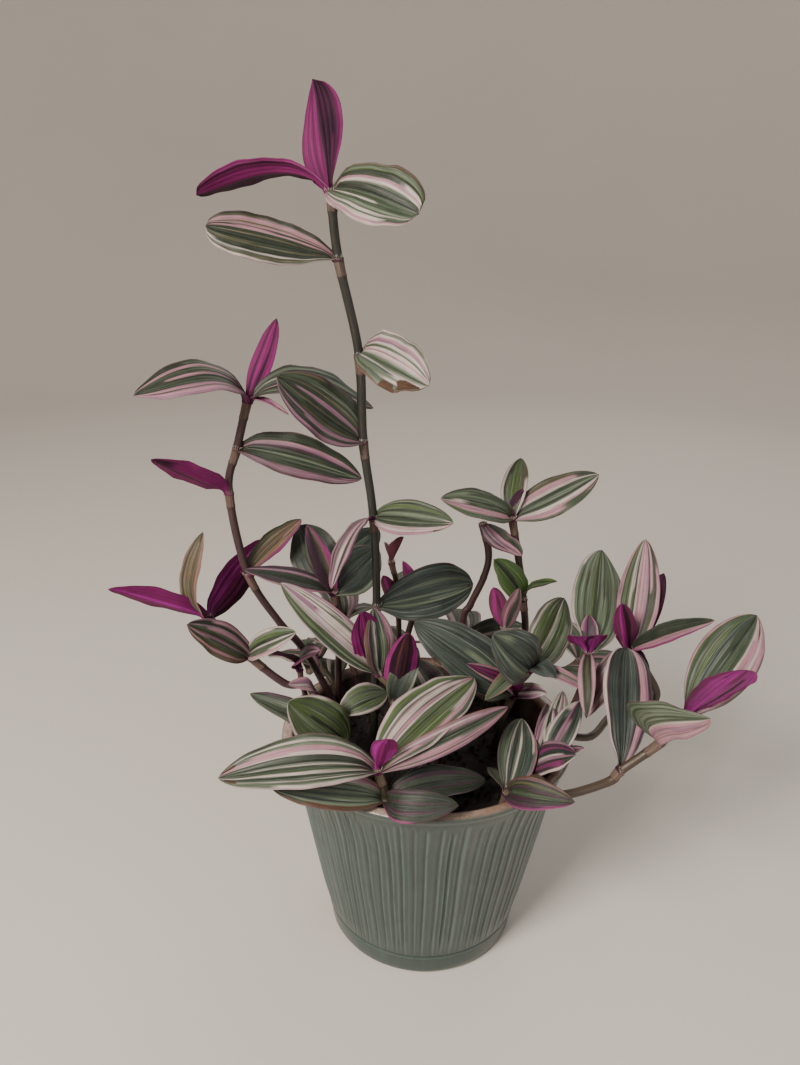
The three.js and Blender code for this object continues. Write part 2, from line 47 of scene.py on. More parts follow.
# ---- the plant ----
# Each row is a leafy stem: its name, its radius and the joints that it passes from the soil up in
# millimetres, the tones of its skin and sheaths, and its leaves. A leaf's row is the number of
# its joint, the place of its tip, the way its upper side faces, its width, how far it arches (in
# lengths), how far its halves fold up (in degrees), its stripes from its left edge to its right
# one, seen from above with the tip up, and what is special about it, if anything.
STEMS = [
    ("stem_tall", 2, [(-28, 8, 86), (-27, 7, 182), (-29, 6, 229), (-34, 5, 267), (-36, 4, 307), (-45, 3, 348),
                      (-48, 2, 375)], "olive", [
        (1, (24, 38, 181), (-0.1, -1, 0.6), 29, 0.02, 8, "KkkKkskkksksKkskk",
         {"dry": [(0.8, -1, 0.06), (0.97, 0.2, 0.05)], "widest": (0.62, 0.45)}),
        (2, (8, -24, 237), (0, -1, 0.7), 18, 0.04, 8, "gsdgGgdgswgdgwgdgwpwlp",
         {"dry": [(0.97, 0.4, 0.05), (0.85, 1, 0.05)]}),
        (2, (-46, -36, 209), (-0.7, -0.8, 0.3), 14, 0.1, 12, "ulpwlgdglwplgldlo"),
        (3, (-71, -13, 299), (0.2, -0.9, 0.6), 27, 0, 8, "uldvlldodgdoddlddodgddou"),
        (4, (-5, -28, 299), (0.2, -1, 0.5), 26, 0.14, 8, "wgwplwgwpwwsgswkswgsb",
         {"dry": [(0.85, 0.62, 0.11), (0.68, 0.95, 0.09)], "widest": (0.5, 0.6), "wave": 0.07}),
        (5, (-99, -9, 360), (0.1, -1, 0.4), 21, 0, 8, "wkokwdddodddddoddpdpopplodd",
         {"widest": (0.66, 0.6), "wave": 0.06}),
        (6, (-11, -28, 366), (0.1, -1, 0.6), 30, 0.1, 6, "odgGdpwppwgddddgggwggsgwgwppw",
         {"widest": (0.58, 0.6), "point": 0.9}),
        (6, (-56, 13, 418), (0, 1, 0.2), 21, 0.02, 20, "gdwgdg",
         {"under": "mquqduudqmqqmqmq", "widest": (0.72, 0.34), "point": 1.7}),
        (6, (-105, 4, 372), (0, 0.5, 0.85), 18, 0.17, 14, "gpgdgpg", {"under": "wuqmmquuuu", "widest": (0.66, 0.66)}),
    ]),
    ("stem_left_high", 1.9, [(-36, 20, 86), (-63, 17, 146), (-77, 14, 167), (-92, 11, 196), (-99, 10, 239),
                             (-94, 10, 261), (-88, 10, 284)], "plum", [
        (3, (-68, 40, 215), (-0.3, -0.7, 0.6), 15, 0.02, 22, "dooyoyopyoyymm"),
        (4, (-127, -18, 262), (0.3, 1, 0.2), 16, 0, 10, "gdgpg", {"under": "mmummummm"}),
        (5, (-35, 16, 245), (0.1, -0.8, 0.7), 23, 0.1, 8, "dddgdpludddsdgddlvlvu"),
        (6, (-131, -22, 291), (0, -0.6, 1), 25, 0.2, 10, "lgplgpldgdgdpdgdpdgd"),
        (6, (-75, 21, 320), (0.3, 1, 0.2), 11, 0, 14, "pmpmp", {"under": "mmummumm"}),
        (6, (-30, 25, 278), (0, -0.5, 1), 22, 0.22, 12, "ddgddsddKdpdddgdd"),
        (6, (-68, 2, 279), (0, -0.3, 1), 5, 0.1, 30, "pmp"),
    ]),
    ("stem_left_low", 1.9, [(-50, 0, 86), (-59, 2, 133), (-74, 3, 138), (-92, 4, 153),
                            (-112, 6, 173)], "plum", [
        (3, (-116, -20, 182), (0.1, -0.8, 0.8), 19, 0.04, 6, "oypodgplodgpldgpl"),
        (3, (-65, -14, 176), (0, -0.8, 0.9), 15, 0.08, 12, "wgsGgdgwgwgwpw"),
        (4, (-152, -19, 199), (0, 1, 0.3), 15, 0.02, 22, "gdgpg", {"under": "mmmmxmmmqm"}),
        (4, (-112, 7, 219), (-1, -1, 0.2), 17, 0.2, 12, "yodyooyodyobyp", {"dry": [(0.97, 0, 0.07)]}),
        (4, (-89, 48, 200), (-0.2, 1, 0.3), 21, 0, 6, "gdgpgdg", {"under": "oumummxmxm"}),
        (1, (-71, -7, 143), (0, -0.5, 1), 9, 0.2, 20, "plwlp"),
    ]),
    ("stem_left_front", 1.6, [(-42, -26, 86), (-41, -24, 121), (-45, -20, 134)], "moss", [
        (1, (-66, -41, 154), (0, -1, 0.8), 26, 0.07, 4, "wGgGGgGsGGdGGgGGgGw"),
        (2, (-21, -2, 137), (0, -0.8, 0.8), 16, 0.24, 8, "wsGgsGsgdGgsw"),
        (1, (-90, -8, 138), (0, -0.5, 1), 14, 0.08, 14, "gdgdgdu"),
    ]),
    ("stem_left_bud", 1.4, [(-55, 12, 86), (-65, 10, 130), (-67, 10, 143)], "plum", [
        (2, (-82, -6, 160), (0, 0.3, 1), 10, 0.1, 26, "udmdu"),
        (2, (-54, -8, 163), (0, -0.6, 1), 14, 0.12, 14, "dldldmd"),
    ]),
    ("stem_front", 2, [(-19, -53, 86), (-20, -62, 118), (-24, -62, 133)], "moss", [
        (2, (-92, -76, 137), (0, -0.6, 1), 25, 0.17, 8, "wgsgwgdgwGgdgwgddgdwppwgsgwgdg",
         {"dry": [(0.93, 0.6, 0.05), (0.93, -0.7, 0.04)]}),
        (1, (-71, -72, 131), (0, -0.7, 1), 20, 0.06, 6, "bgsksskssksswplps"),
        (2, (22, -14, 153), (-0.3, -0.7, 0.8), 29, 0.11, 10, "wgGGgwgpwwgpwgGGdGGgGgwgpwggw"),
        (2, (37, -32, 148), (0.1, -0.9, 0.5), 13, 0.11, 10, "ylwplgdgdgplpgpl"),
        (2, (-20, -71, 155), (0.2, 1, 0), 14, 0, 34, "mpmpm", {"under": "mxmxmxl", "point": 1.7, "widest": (0.6, 0.4)}),
        (1, (-1, -34, 118), (-0.3, -0.9, 0.5), 8, 0.05, 18, "gsgwgsg"),
        # Painted shade: these two low front blades take dark stripes that stand for the shade they lie in.
        (1, (12, -77, 126), (0, -0.8, 0.8), 15, 0.26, 8, "dudKdudKduKdum", {"lean": 0.12, "dry": [(1, 0, 0.06)]}),
        (1, (27, -46, 117), (0, -0.5, 1), 17, 0.12, 12, "dKuddKuddK"),
    ]),
    ("stem_front_right", 1.8, [(31, -48, 86), (36, -55, 117)], "moss", [
        (1, (47, -15, 131), (0, -1, 0.4), 20, 0.06, 8, "KgkgskwkgkswkgKksgwkp"),
        (1, (61, -81, 132), (0, -0.9, 0.8), 15, 0.14, 6, "bvdodudgodudumm", {"widest": (0.4, 0.4)}),
        (1, (30, -32, 114), (0.3, -1, 0.3), 10, 0.05, 14, "gsgd"),
    ]),
    ("stem_rim_right", 1.5, [(46, -32, 86), (54, -31, 112), (58, -36, 119)], "plum", [
        (2, (69, -1, 139), (-0.2, -1, 0.3), 12, 0.05, 20, "wswgswlgwsp"),
        (1, (65, -58, 140), (0, -0.8, 1), 18, 0.14, 6, "lumKwldmuw"),
        (2, (71, -48, 137), (0, -0.5, 1), 7, 0.1, 24, "ulvlp"),
        (2, (75, -14, 141), (-0.5, -0.9, 0.2), 14, 0.1, 14, "wkdluKdkw"),
        (1, (60, -10, 137), (0, -1, 0.3), 11, 0.1, 16, "vudlKuv"),
        (1, (62, -14, 137), (0.1, -1, 0.4), 13, 0.1, 16, "lwdkwldv"),
    ]),
    ("stem_right_long", 2, [(33, -42, 86), (48.3, -48.6, 119.5), (58, -60, 119.5), (82, -53, 122),
                            (88, -52, 128),
                            (106, -49, 142), (117, -46, 155)], "umber", [
        (4, (97, -8, 168), (0.05, -1, 0.35), 25, 0.05, 12, "wuKKkKKKkKKKkKuppluk", {"widest": (0.64, 0.64)}),
        (5, (113, -80, 174), (-0.2, -1, 0.5), 24, 0.15, 4, "gwsgsgsgsgwplpppp", {"lean": -0.3}),
        (6, (156, -12, 189), (-0.5, -1, 0.3), 28, 0.14, 8, "pGgggGgkkgggdggggwppuwppg"),
        (6, (126, -77, 195), (-0.1, 1, 0.3), 23, 0, 6, "gdggdg", {"under": "mxxuxxmxxuxmm", "widest": (0.6, 0.6)}),
    ]),
    ("stem_right_high", 1.9, [(52, -16, 86), (64, -14, 118), (83, -12, 119.5), (98, 4, 123), (120, 8, 130),
                              (113, 6, 147), (101, 2, 161)], "umber", [
        (6, (108, 20, 215), (0, -1, 0.3), 22, 0.02, 14, "ppgGgGwGgwppppldpodpp"),
        (6, (92, -8, 192), (0, 1, 0.2), 12, 0, 24, "gdgpg", {"under": "mvuumxvm"}),
        (6, (131, -25, 192), (0, -0.6, 1), 13, 0.05, 14, "kdodddgplpm"),
        (6, (75, -29, 141), (-0.6, -0.8, 0.3), 14, 0.12, 14, "lgpwlpgwplgp"),
        (6, (117, 12, 200), (0.5, 0.9, 0.2), 14, 0.05, 20, "gdgpg", {"under": "gdumu"}),
        (6, (109, -10, 156), (0.3, 0.8, 0.3), 11, 0.05, 10, "dgd", {"under": "umu"}),
    ]),
    ("stem_right_mid", 1.7, [(46, -8, 86), (70, -6, 125), (77, -8, 148), (78, -9, 166)], "plum", [
        (3, (93, 45, 199), (0.25, -1, 0.5), 30, 0.04, 4, "wsgssgsgGggssgsgsssgsw"),
        (3, (73, -24, 182), (0, 0.8, 0.8), 20, 0.1, 12, "gdgpgdg", {"under": "mxxuxxm"}),
        (3, (79, 2, 181), (0, -1, 0.1), 10, 0, 26, "plmuuduump"),
        (3, (73, -39, 147), (-0.3, -1, 0.2), 9, 0.1, 20, "pdodp"),
    ]),
    ("stem_mid", 1.8, [(32, 2, 86), (43, -3, 137), (50, -6, 154)], "moss", [
        (1, (-8, 4, 174), (0.2, -0.8, 0.8), 29, 0.1, 6, "KkkKkkkKkksKkkKkKkk",
         {"dry": [(0.93, 1, 0.05), (0.7, -1, 0.05)]}),
        (2, (28, -28, 184), (0, -1, 0.6), 26, 0.14, 4, "kKkskKkskKkk", {"dry": [(0.2, 0.5, 0.06)]}),
        (2, (72, 30, 177), (0.2, -1, 0.4), 24, 0.06, 12, "gwGgsgGgwsgGgsGgw"),
        (2, (76, -28, 155), (0, -0.2, 1), 10, 0.08, 18, "plgpwplp"),
        (1, (28, -24, 146), (0, -0.4, 1), 8, 0.1, 20, "gdgo"),
        (2, (26, -30, 150), (0, -0.5, 1), 10, 0.15, 24, "ygGgdgGgy"),
        (1, (44, -12, 157), (0.4, 1, 0), 8, 0, 20, "gdg", {"under": "mummum"}),
        (1, (59, -12, 144), (0, -0.5, 1), 11, 0.1, 16, "wluwlu"),
        (2, (60, -23, 159), (0, -0.4, 1), 13, 0.15, 14, "kKkuKk"),
        (1, (17, -22, 165), (-0.3, -0.6, 0.8), 9, 0.14, 20, "pumumup"),
    ]),
    ("stem_back_right", 1.8, [(36, 34, 86), (51, 26, 147), (49, 23, 180), (45, 21, 202),
                              (40, 20, 225)], "rust", [
        (2, (31, 11, 206), (0.4, -0.9, 0.4), 16, 0.06, 8, "eeedeee"),
        (2, (63, 8, 196), (-0.2, -0.3, 1), 8, 0.12, 20, "edeed", {"dry": [(0.97, 0, 0.1)]}),
        (4, (3, 2, 240), (0, -0.8, 0.9), 18, 0.06, 10, "gGgpplpgwgdgsgdgd"),
        (4, (46, 46, 249), (-0.4, -1, 0.3), 14, 0.1, 14, "wdgGGGgow"),
        (4, (84, 32, 245), (0.1, -0.8, 0.7), 20, 0, 8, "dodpppwgdgsgdgwwpgpgg", {"dry": [(0.45, 1, 0.05)]}),
        (4, (45, 24, 239), (0, 1, 0.2), 8, 0, 30, "mpu", {"under": "mpu"}),
    ]),
    ("stem_small_cup", 1.3, [(22, 18, 86), (40, 14, 151), (39, 13, 167)], "moss", [
        (2, (32, 13, 190), (0, 1, 0.3), 11, 0, 30, "dpdp", {"under": "vpvpv"}),
        (2, (44, 4, 194), (-0.2, -1, 0.3), 9, 0, 26, "vpvdv"),
    ]),
    ("stem_back_mid", 1.8, [(14, 30, 86), (18, 27, 160), (22, 26, 174), (28, 25, 190), (30, 25, 203),
                            (26, 25, 220)], "rust", [
        (5, (42, -7, 215), (0.4, -1, 0.4), 14, -0.06, 8, "lgduplgpulpu"),
    ]),
    ("stem_mid_left", 1.8, [(-26, -14, 86), (-17, -15, 139), (-25, -14, 155)], "moss", [
        (2, (-72, -12, 201), (0.4, -1, 0.5), 18, 0.05, 8, "wgdgGgdgwlwwwlwwwlwgwwgwlp",
         {"dry": [(0.82, 0.5, 0.02), (0.7, 0.3, 0.02)]}),
        (2, (-33, -23, 192), (-0.5, 1, 0.1), 17, 0.05, 8, "gdggdg", {"under": "mmmummumm"}),
        (2, (-28, -16, 191), (0.6, -1, 0.2), 17, 0.06, 10, "oyvuKswwkKksskvlplp"),
        (1, (-11, -28, 184), (0, 1, 0.3), 16, 0.03, 16, "gdggd", {"under": "mmluKKbKKbKKKwp"}),
        (1, (-6, -10, 167), (-0.3, -1, 0.3), 14, 0.2, 16, "gdKdKKdKs"),
    ]),
    ("stem_left_back", 1.7, [(-49, 28, 86), (-47, 16, 157), (-49, 12, 186)], "plum", [
        (2, (-91, -2, 203), (0, -0.5, 1), 14, 0.03, 12, "puduKdudldu"),
        (2, (-62, 12, 222), (0.3, -1, 0), 13, 0.03, 30, "umuuduomu"),
        (2, (-69, 45, 210), (-0.3, -0.6, 0.8), 26, 0.06, 6, "KdKdgKdKdgKdK"),
        (2, (-27, 36, 201), (0.1, -0.9, 0.4), 24, 0.04, 6, "dKKdKKdKKdKs"),
    ]),
    ("stem_funnel", 1.4, [(-14, 28, 86), (-16, 24, 173), (-20, 23, 199)], "rust", [
        (2, (-14, 19, 214), (-0.6, 0.6, 0.2), 10, 0, 36, "vyv", {"under": "vyvyv"}),
        (2, (-24, 32, 206), (0.5, -1, 0.3), 7, 0, 36, "vyv"),
        (1, (-24, 16, 194), (0, 1, 0.3), 9, 0, 18, "dgd", {"under": "vpv"}),
    ]),
    ("stem_centre", 1.5, [(4, -12, 86), (9, -17, 137)], "plum", [
        (1, (-7, 16, 146), (0.2, -0.9, 0.5), 15, 0.1, 12, "gwdudg"),
        (1, (23, 13, 144), (0, 1, 0.3), 13, 0.05, 12, "gdg", {"under": "mum"}),
        (1, (0, -46, 126), (0.2, -0.6, 1), 12, 0.1, 10, "gGGGg"),
    ]),
    ("stem_rear_left", 1.8, [(-34, 40, 86), (-42, 52, 124), (-48, 58, 146), (-54, 62, 176)], "plum", [
        (1, (-70, 84, 122), (-0.2, 0.5, 1), 22, 0.14, 8, "wgGgpwgdgdgwpgwgdg"),
        (2, (-58, 104, 146), (0, 0.6, 1), 24, 0.14, 8, "lgdgwwgdgGgdgwpwgl"),
        (2, (-24, 92, 140), (0.2, 0.6, 1), 22, 0.12, 8, "gdgsgdgwpgdggsgdg"),
        (3, (-78, 92, 184), (-0.2, 0.8, 1), 20, 0.1, 10, "pwgdgGgwpwgdpld"),
        (3, (-28, 84, 194), (0.2, -0.8, 0.6), 20, 0.06, 12, "KkKdgskKkdgdK"),
    ]),
    ("stem_rear_middle", 1.8, [(-14, 50, 86), (-12, 58, 128), (-6, 64, 154)], "rust", [
        (1, (-34, 96, 126), (-0.2, 0.8, 1), 21, 0.12, 8, "gwgdgpwgGgdgwgs"),
        (2, (22, 92, 150), (0.3, 0.6, 1), 22, 0.1, 8, "wpgdgsgdgwgdpplg"),
        (2, (-10, 112, 156), (0, 0.5, 1), 24, 0.14, 8, "lgGgwgdgdgwwpgGgpw"),
        (2, (-14, 76, 178), (0.4, 1, 0.1), 12, 0, 34, "mpmpm"),
    ]),
    ("stem_rear_right", 1.7, [(10, 48, 86), (18, 58, 118), (24, 64, 134)], "moss", [
        (1, (-8, 100, 112), (-0.2, 0.8, 1), 20, 0.16, 8, "ggdgsgwgdgpgdg"),
        (1, (54, 82, 118), (0.2, 0.5, 1), 21, 0.12, 8, "wgdgwpgGgdgwpg"),
        (2, (22, 110, 132), (0, 0.6, 1), 22, 0.12, 10, "pwgdgdgGgwgdgpl"),
        (2, (58, 56, 146), (0.1, -0.8, 0.8), 18, 0.06, 12, "KdgdgwgkgdK"),
    ]),
    ("stem_rear_trailing", 1.7, [(40, 38, 86), (50, 43, 118.6), (66, 56, 120), (82, 68, 112),
                                 (94, 76, 114)], "umber", [
        (2, (62, 96, 124), (-0.2, 0.6, 1), 20, 0.1, 8, "gwgGgdgwpgdgsg"),
        (3, (104, 40, 112), (0.2, -0.4, 1), 20, 0.12, 8, "pgdgwgdgsgdpl"),
        (4, (88, 112, 126), (0, 0.6, 1), 20, 0.08, 10, "wgdgpwgdgGgwg"),
        (4, (132, 72, 112), (0.2, -0.2, 1), 20, 0.08, 10, "lgGgwpgdgdgpplw"),
    ]),
    ("stem_rear_low", 1.7, [(-44, 33, 86), (-52, 39, 117.6), (-62, 50, 120), (-68, 60, 113)], "moss", [
        (1, (-56, 82, 108), (0, 0.6, 1), 18, 0.16, 8, "gdgwgdgpgsg"),
        (2, (-94, 74, 116), (-0.2, 0.3, 1), 20, 0.12, 8, "wgdgGgwpgdgpld"),
        (3, (-66, 102, 114), (0, 0.5, 1), 20, 0.12, 8, "pgGgdgwgdgwpgd"),
    ]),
]


def tone(*screen):
    """One or more screen colours as the light that they stand for."""
    share = np.array(screen) / 255
    return np.where(share > 0.04045, ((share + 0.055) / 1.055) ** 2.4, share / 12.92)


def palette(**stripes):
    return {letter: tone(*screen) for letter, screen in stripes.items()}


# The stripes of a blade's upper side, and what each of them turns to on its underside.
STRIPES = palette(
    g=(52, 65, 46), d=(27, 35, 24), G=(64, 82, 37), e=(62, 92, 28),
    s=(90, 102, 82), w=(180, 165, 160), p=(162, 114, 128), l=(130, 88, 112),
    m=(118, 28, 92), u=(54, 22, 44), o=(66, 62, 36), y=(112, 80, 64),
    b=(84, 52, 34), v=(98, 62, 77), k=(47, 60, 55), K=(29, 39, 37))
UNDERSIDES = palette(
    g=(70, 24, 56), d=(44, 14, 34), G=(72, 28, 54), e=(54, 80, 32),
    s=(86, 36, 72), w=(140, 50, 112), p=(134, 44, 106), l=(104, 36, 84),
    m=(112, 24, 86), u=(50, 16, 40), o=(70, 30, 42), y=(98, 52, 56),
    b=(78, 42, 36), v=(94, 52, 67), k=(54, 28, 48), K=(38, 20, 34),
    q=(90, 18, 68), x=(146, 38, 126))
MARGIN = tone(116, 66, 84)
BLADE_FOOT = tone(90, 76, 68)
# Of each stem: its skin where painted lit from above, its skin on the shaded side as painted shade, its sheaths.
SKINS = {
    "olive": tone((33, 37, 31), (26, 24, 24), (72, 57, 51)),
    "plum": tone((58, 37, 39), (40, 22, 28), (84, 61, 56)),
    "moss": tone((58, 54, 38), (44, 32, 32), (82, 65, 53)),
    "umber": tone((68, 55, 43), (46, 33, 31), (88, 68, 56)),
    "rust": tone((56, 34, 37), (42, 22, 28), (80, 56, 53)),
}
KNOT = tone(44, 30, 28)


# ---- meshes ----
class Heap:
    """Gathers grids of points into one mesh, with two kinds of paint on its points."""

    def __init__(self):
        self.points, self.paint, self.place = [], [], []
        self.faces, self.spots, self.kinds = [], [], []
        self.count = 0

    def add(self, points, paint, place):
        """Adds a grid of points and gives back their numbers, in the same grid."""
        size = points[..., 0].size
        self.points.append(points.reshape(-1, 3))
        self.paint.append(np.broadcast_to(paint, points.shape).reshape(-1, 3))
        self.place.append(np.broadcast_to(place, (*points.shape[:-1], 4)).reshape(-1, 4))
        self.count += size
        return np.arange(self.count - size, self.count).reshape(points.shape[:-1])

    def weave(self, numbers, spots, kind=0):
        """Covers a grid of point numbers with faces. spots are its places on the bake's map."""
        def corners(grid):
            return np.stack([grid[:-1, :-1], grid[:-1, 1:], grid[1:, 1:], grid[1:, :-1]], 2)
        faces = corners(numbers).reshape(-1, 4)
        self.faces.append(faces)
        self.spots.append(corners(spots).reshape(-1, 4, 2))
        self.kinds.append(np.full(len(faces), kind))

    def piece(self, name, materials, slot=None, node=None):
        """Makes the mesh. Without a slot it isn't part of the plant or its pot."""
        faces = np.concatenate(self.faces)
        mesh = bpy.data.meshes.new(name)
        mesh.vertices.add(self.count)
        mesh.vertices.foreach_set("co", (np.concatenate(self.points) * MM).astype(np.float32).ravel())
        mesh.loops.add(faces.size)
        mesh.loops.foreach_set("vertex_index", faces.astype(np.int32).ravel())
        mesh.polygons.add(len(faces))
        mesh.polygons.foreach_set("loop_start", np.arange(0, faces.size, 4, dtype=np.int32))
        mesh.polygons.foreach_set("material_index", np.concatenate(self.kinds).astype(np.int32))
        mesh.update(calc_edges=True)
        mesh.shade_smooth()
        for title, rows in (("paint", self.paint), ("place", self.place)):
            rows = np.concatenate(rows)
            rows = np.pad(rows, ((0, 0), (0, 4 - rows.shape[1])), constant_values=1)
            mesh.attributes.new(title, "FLOAT_COLOR", "POINT").data.foreach_set(
                "color", rows.astype(np.float32).ravel())
        mesh.uv_layers.new(name="OFBake").data.foreach_set(
            "uv", np.concatenate(self.spots).astype(np.float32).ravel())
        for material in materials:
            mesh.materials.append(material)
        made = placed(name, mesh)
        if slot:
            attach(made, "root")
        if node:
            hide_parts(node)
        return made


def placed(name, data):
    made = bpy.data.objects.new(name, data)
    bpy.context.scene.collection.objects.link(made)
    return made


def seeded(words):
    return np.random.default_rng(sum((i + 1) * ord(letter) for i, letter in enumerate(words)))


def eased(x):
    x = np.clip(x, 0, 1)
    return x * x * (3 - 2 * x)


def blended(a, b, share):
    return a + (b - a) * np.asarray(share)[..., None]


def unit(v):
    return v / np.linalg.norm(v, axis=-1, keepdims=True)


def closed(numbers):
    """A grid of point numbers that runs round to its first column again."""
    return np.concatenate([numbers, numbers[:, :1]], 1)


def net(across, along, left, low, right, high):
    """Places of a grid on the bake's map: across and along run from 0 to 1 in that window."""
    u, v = np.meshgrid(left + (right - left) * across, low + (high - low) * along)
    return np.stack([u, v], -1)


# ---- leaves ----
WIDEST = 0.6 / 1.3  # where along a blade it is widest
POINT = 1.3  # how pointed its two ends are
FOOT_WIDTH, TIP_WIDTH = 0.14, 0.004  # its least width at either end, as a share of the widest
CURL = 22  # degrees that each half of a blade bends back from its rib to its edge
CLASP = 62  # degrees that its halves stand up at its foot, where it clasps the stem
FUNNEL = 36  # a blade folded up this far is a rolled funnel
FUNNEL_CURL = -50
WAVE = 0.03  # height of its edge's waves, as a share of its width
COLLAR = 0.13  # how far along the blade its collar reaches
COLLAR_TURN = 150  # degrees that the collar wraps to either side
FOOT, FOOT_ROWS = 0.12, 5  # the rows of points stand closer up to this place
FADING = 0.3  # share of the stripes that run out before the tip or start after the base
STRIPE_BLUR = 0.3  # how much of a stripe's width its edge takes


def stripes_on(t, c, letters, tones, dice):
    """Colours of a striped blade at t along it and c across it, from -1 to 1."""
    bands = np.array([tones[letter] for letter in letters])
    count = len(bands)
    bands = bands * (1 + dice.normal(0, 0.05, (count, 1)))
    bands = np.repeat(bands[None], len(t), 0)
    for k in range(1, count):
        if dice.random() < FADING:
            fade = eased((t[:, 0] - dice.uniform(0.45, 0.95)) * 14)
            fade = fade if dice.random() < 0.6 else 1 - fade
            bands[:, k] = blended(bands[:, k], bands[:, k - 1], fade)
    place = (c + 1) / 2 * count + 0.25 * np.sin(2 * np.pi * (1.1 * t + dice.random())) * (1 - c * c)
    colour = np.repeat(bands[:, :1], c.shape[1], 1)
    for k in range(1, count):
        swing, beat, start = dice.uniform(0.04, 0.22), dice.uniform(0.4, 1.6), dice.random()
        edge = k + dice.uniform(-0.24, 0.24) + swing * np.sin(2 * np.pi * (beat * t + start))
        beyond = eased((place - edge) / STRIPE_BLUR + 0.5)[..., None]
        colour = colour + (bands[:, k] - bands[:, k - 1])[:, None] * beyond
    return colour


def dryness(t, c, spots, dice):
    """How dry and brown the blade is: 0 where it is fresh."""
    dry = np.zeros(np.broadcast(t, c).shape)
    for along, across, size in spots:
        ragged = 0.3 * size * np.sin(17 * t + 9 * dice.random()) * np.cos(7 * c + 5 * dice.random())
        far = np.hypot((t - along), (c - across) * 0.35) + ragged
        dry = np.maximum(dry, eased((size - far) / (0.35 * size)))
    return dry


def leaf(heap, joints, stem_radius, row, window, dice):
    """Adds one blade with its two skins, on an arched midrib, to the heap."""
    joint, tip, facing, width, arch, fold, letters, *more = row
    special = more[0] if more else {}
    base, tip, facing = np.array(joints[joint], float), np.array(tip, float), np.array(facing, float)
    reach = tip - base
    length = np.linalg.norm(reach)
    along = reach / length
    up = unit(facing - along * (facing @ along))
    side = np.cross(along, up)
    columns = 2 * int(np.clip(width * 1.2, 7, 34)) + 1
    rows = int(np.clip(length * 0.5, 16, 36))
    t = np.linspace(0, 1, rows - FOOT_ROWS)
    t = FOOT + (1 - FOOT) * (0.45 * t + 0.55 * np.sin(t * np.pi / 2))  # closer again towards the tip
    t = np.concatenate([np.linspace(0, FOOT, FOOT_ROWS + 1)[:-1], t])[:, None]
    c = np.linspace(-1, 1, columns)[None]
    peak = np.where(c < 0, *special.get("widest", (WIDEST, WIDEST)))
    point = special.get("point", POINT)
    outline = (t / peak) ** (point * peak) * ((1 - t) / (1 - peak)) ** (point * (1 - peak))
    half = width / 2 * np.maximum(outline, np.where(t < peak, FOOT_WIDTH, TIP_WIDTH))
    # Each half leaves the midrib at a slant and bends back; at its foot the blade clasps the stem.
    slant = np.radians(fold + CURL / 2 + (CLASP - fold) * np.exp(-t / 0.07))
    bend = np.radians(dice.uniform(0.7, 1.5) * CURL if fold < FUNNEL else FUNNEL_CURL)
    x = np.linspace(0, 1, columns // 2 + 1)[None]
    angle = (slant - bend * x) * eased(x / 0.07)
    step = 1 / (columns // 2)
    run = np.cumsum((np.cos(angle[:, 1:]) + np.cos(angle[:, :-1])) / 2 * step, 1)
    rise = np.cumsum((np.sin(angle[:, 1:]) + np.sin(angle[:, :-1])) / 2 * step, 1)
    run = np.concatenate([-run[:, ::-1], np.zeros((rows, 1)), run], 1)
    rise = np.concatenate([rise[:, ::-1], np.zeros((rows, 1)), rise], 1)
    wave = special.get("wave", WAVE) * width * c * c * eased(t / 0.2) * eased((1 - t) / 0.15) * (
        np.sin(2 * np.pi * (dice.uniform(1.2, 2.6) * t + dice.random()) + np.where(c < 0, 2.1, 0))
        + 0.4 * np.sin(2 * np.pi * (dice.uniform(3.5, 5.5) * t + dice.random()) + np.where(c < 0, 1.3, 0)))
    pleat = 0.1 * np.cos(np.pi * (9 * np.abs(c) ** 0.9)) * eased((1 - np.abs(c)) / 0.1) * eased(t / 0.1)
    bow = t * (1 - t) * (5.4 - 3.4 * t) * length
    middle = base + t * reach + up * arch * bow + side * special.get("lean", 0) * bow
    sheet = middle[:, None] + side * (half * run)[..., None] + up * (half * rise + wave + pleat)[..., None]
    # Its foot grows out of a collar that wraps the stem and opens away from the blade.
    stem, way = curve_at(joints, joint)
    way = unit(way)
    out = unit(along - way * (along @ way) + 1e-3 * up)
    beside = np.cross(out, way)
    beside = beside * np.sign(beside @ side + 1e-9)
    wrap = np.radians(COLLAR_TURN) * c[0][:, None]
    ring = stem - 1.5 * way + (stem_radius + 0.5) * (np.cos(wrap) * out + np.sin(wrap) * beside)
    neck = eased(t / COLLAR)[..., None]
    sheet = ring * (1 - neck) + sheet * neck
    # The skins lie either way along the sheet's own normals, and close towards its edges.
    normal = unit(np.cross(np.gradient(sheet, axis=1), np.gradient(sheet, axis=0)))
    thick = (0.08 + 0.2 * (1 - np.abs(c) ** 3) + 0.2 * np.exp(-(c / 0.07) ** 2)) * eased(0.35 + 2 * (1 - t))
    dry = dryness(t, c, special.get("dry", []), dice)
    seed = dice.random()
    place = np.stack(np.broadcast_arrays((c + 1) / 2, t, dry, seed), -1)
    edge = eased((np.abs(c) - 0.93) / 0.06)
    foot = eased(1 - t / 0.14)
    # Painted shade: the upper skin is painted darker along the crease of its midrib.
    midrib_shade = np.exp(-(c / 0.05) ** 2) * eased((0.9 - t) / 0.3)
    upper = stripes_on(t, c, letters, STRIPES, dice) * (1 - 0.3 * midrib_shade)[..., None]
    upper = blended(upper, MARGIN, 0.5 * edge)
    # Painted shade: besides the foot's own tan and purple, both skins are painted darker towards the blade's foot, deep
    # in the plant.
    upper = blended(upper, BLADE_FOOT, 0.4 * foot) * (0.72 + 0.28 * eased(t / 0.3))[..., None]
    under = stripes_on(t, -c, special.get("under", letters)[::-1], UNDERSIDES, dice)
    under = blended(under, UNDERSIDES["m"], 0.25 * foot) * (0.7 + 0.3 * eased(t / 0.35))[..., None]
    over = heap.add(sheet + normal * thick[..., None], upper, place)
    below = heap.add(sheet - normal * thick[..., None], under, place)
    left, low, wide, high = window

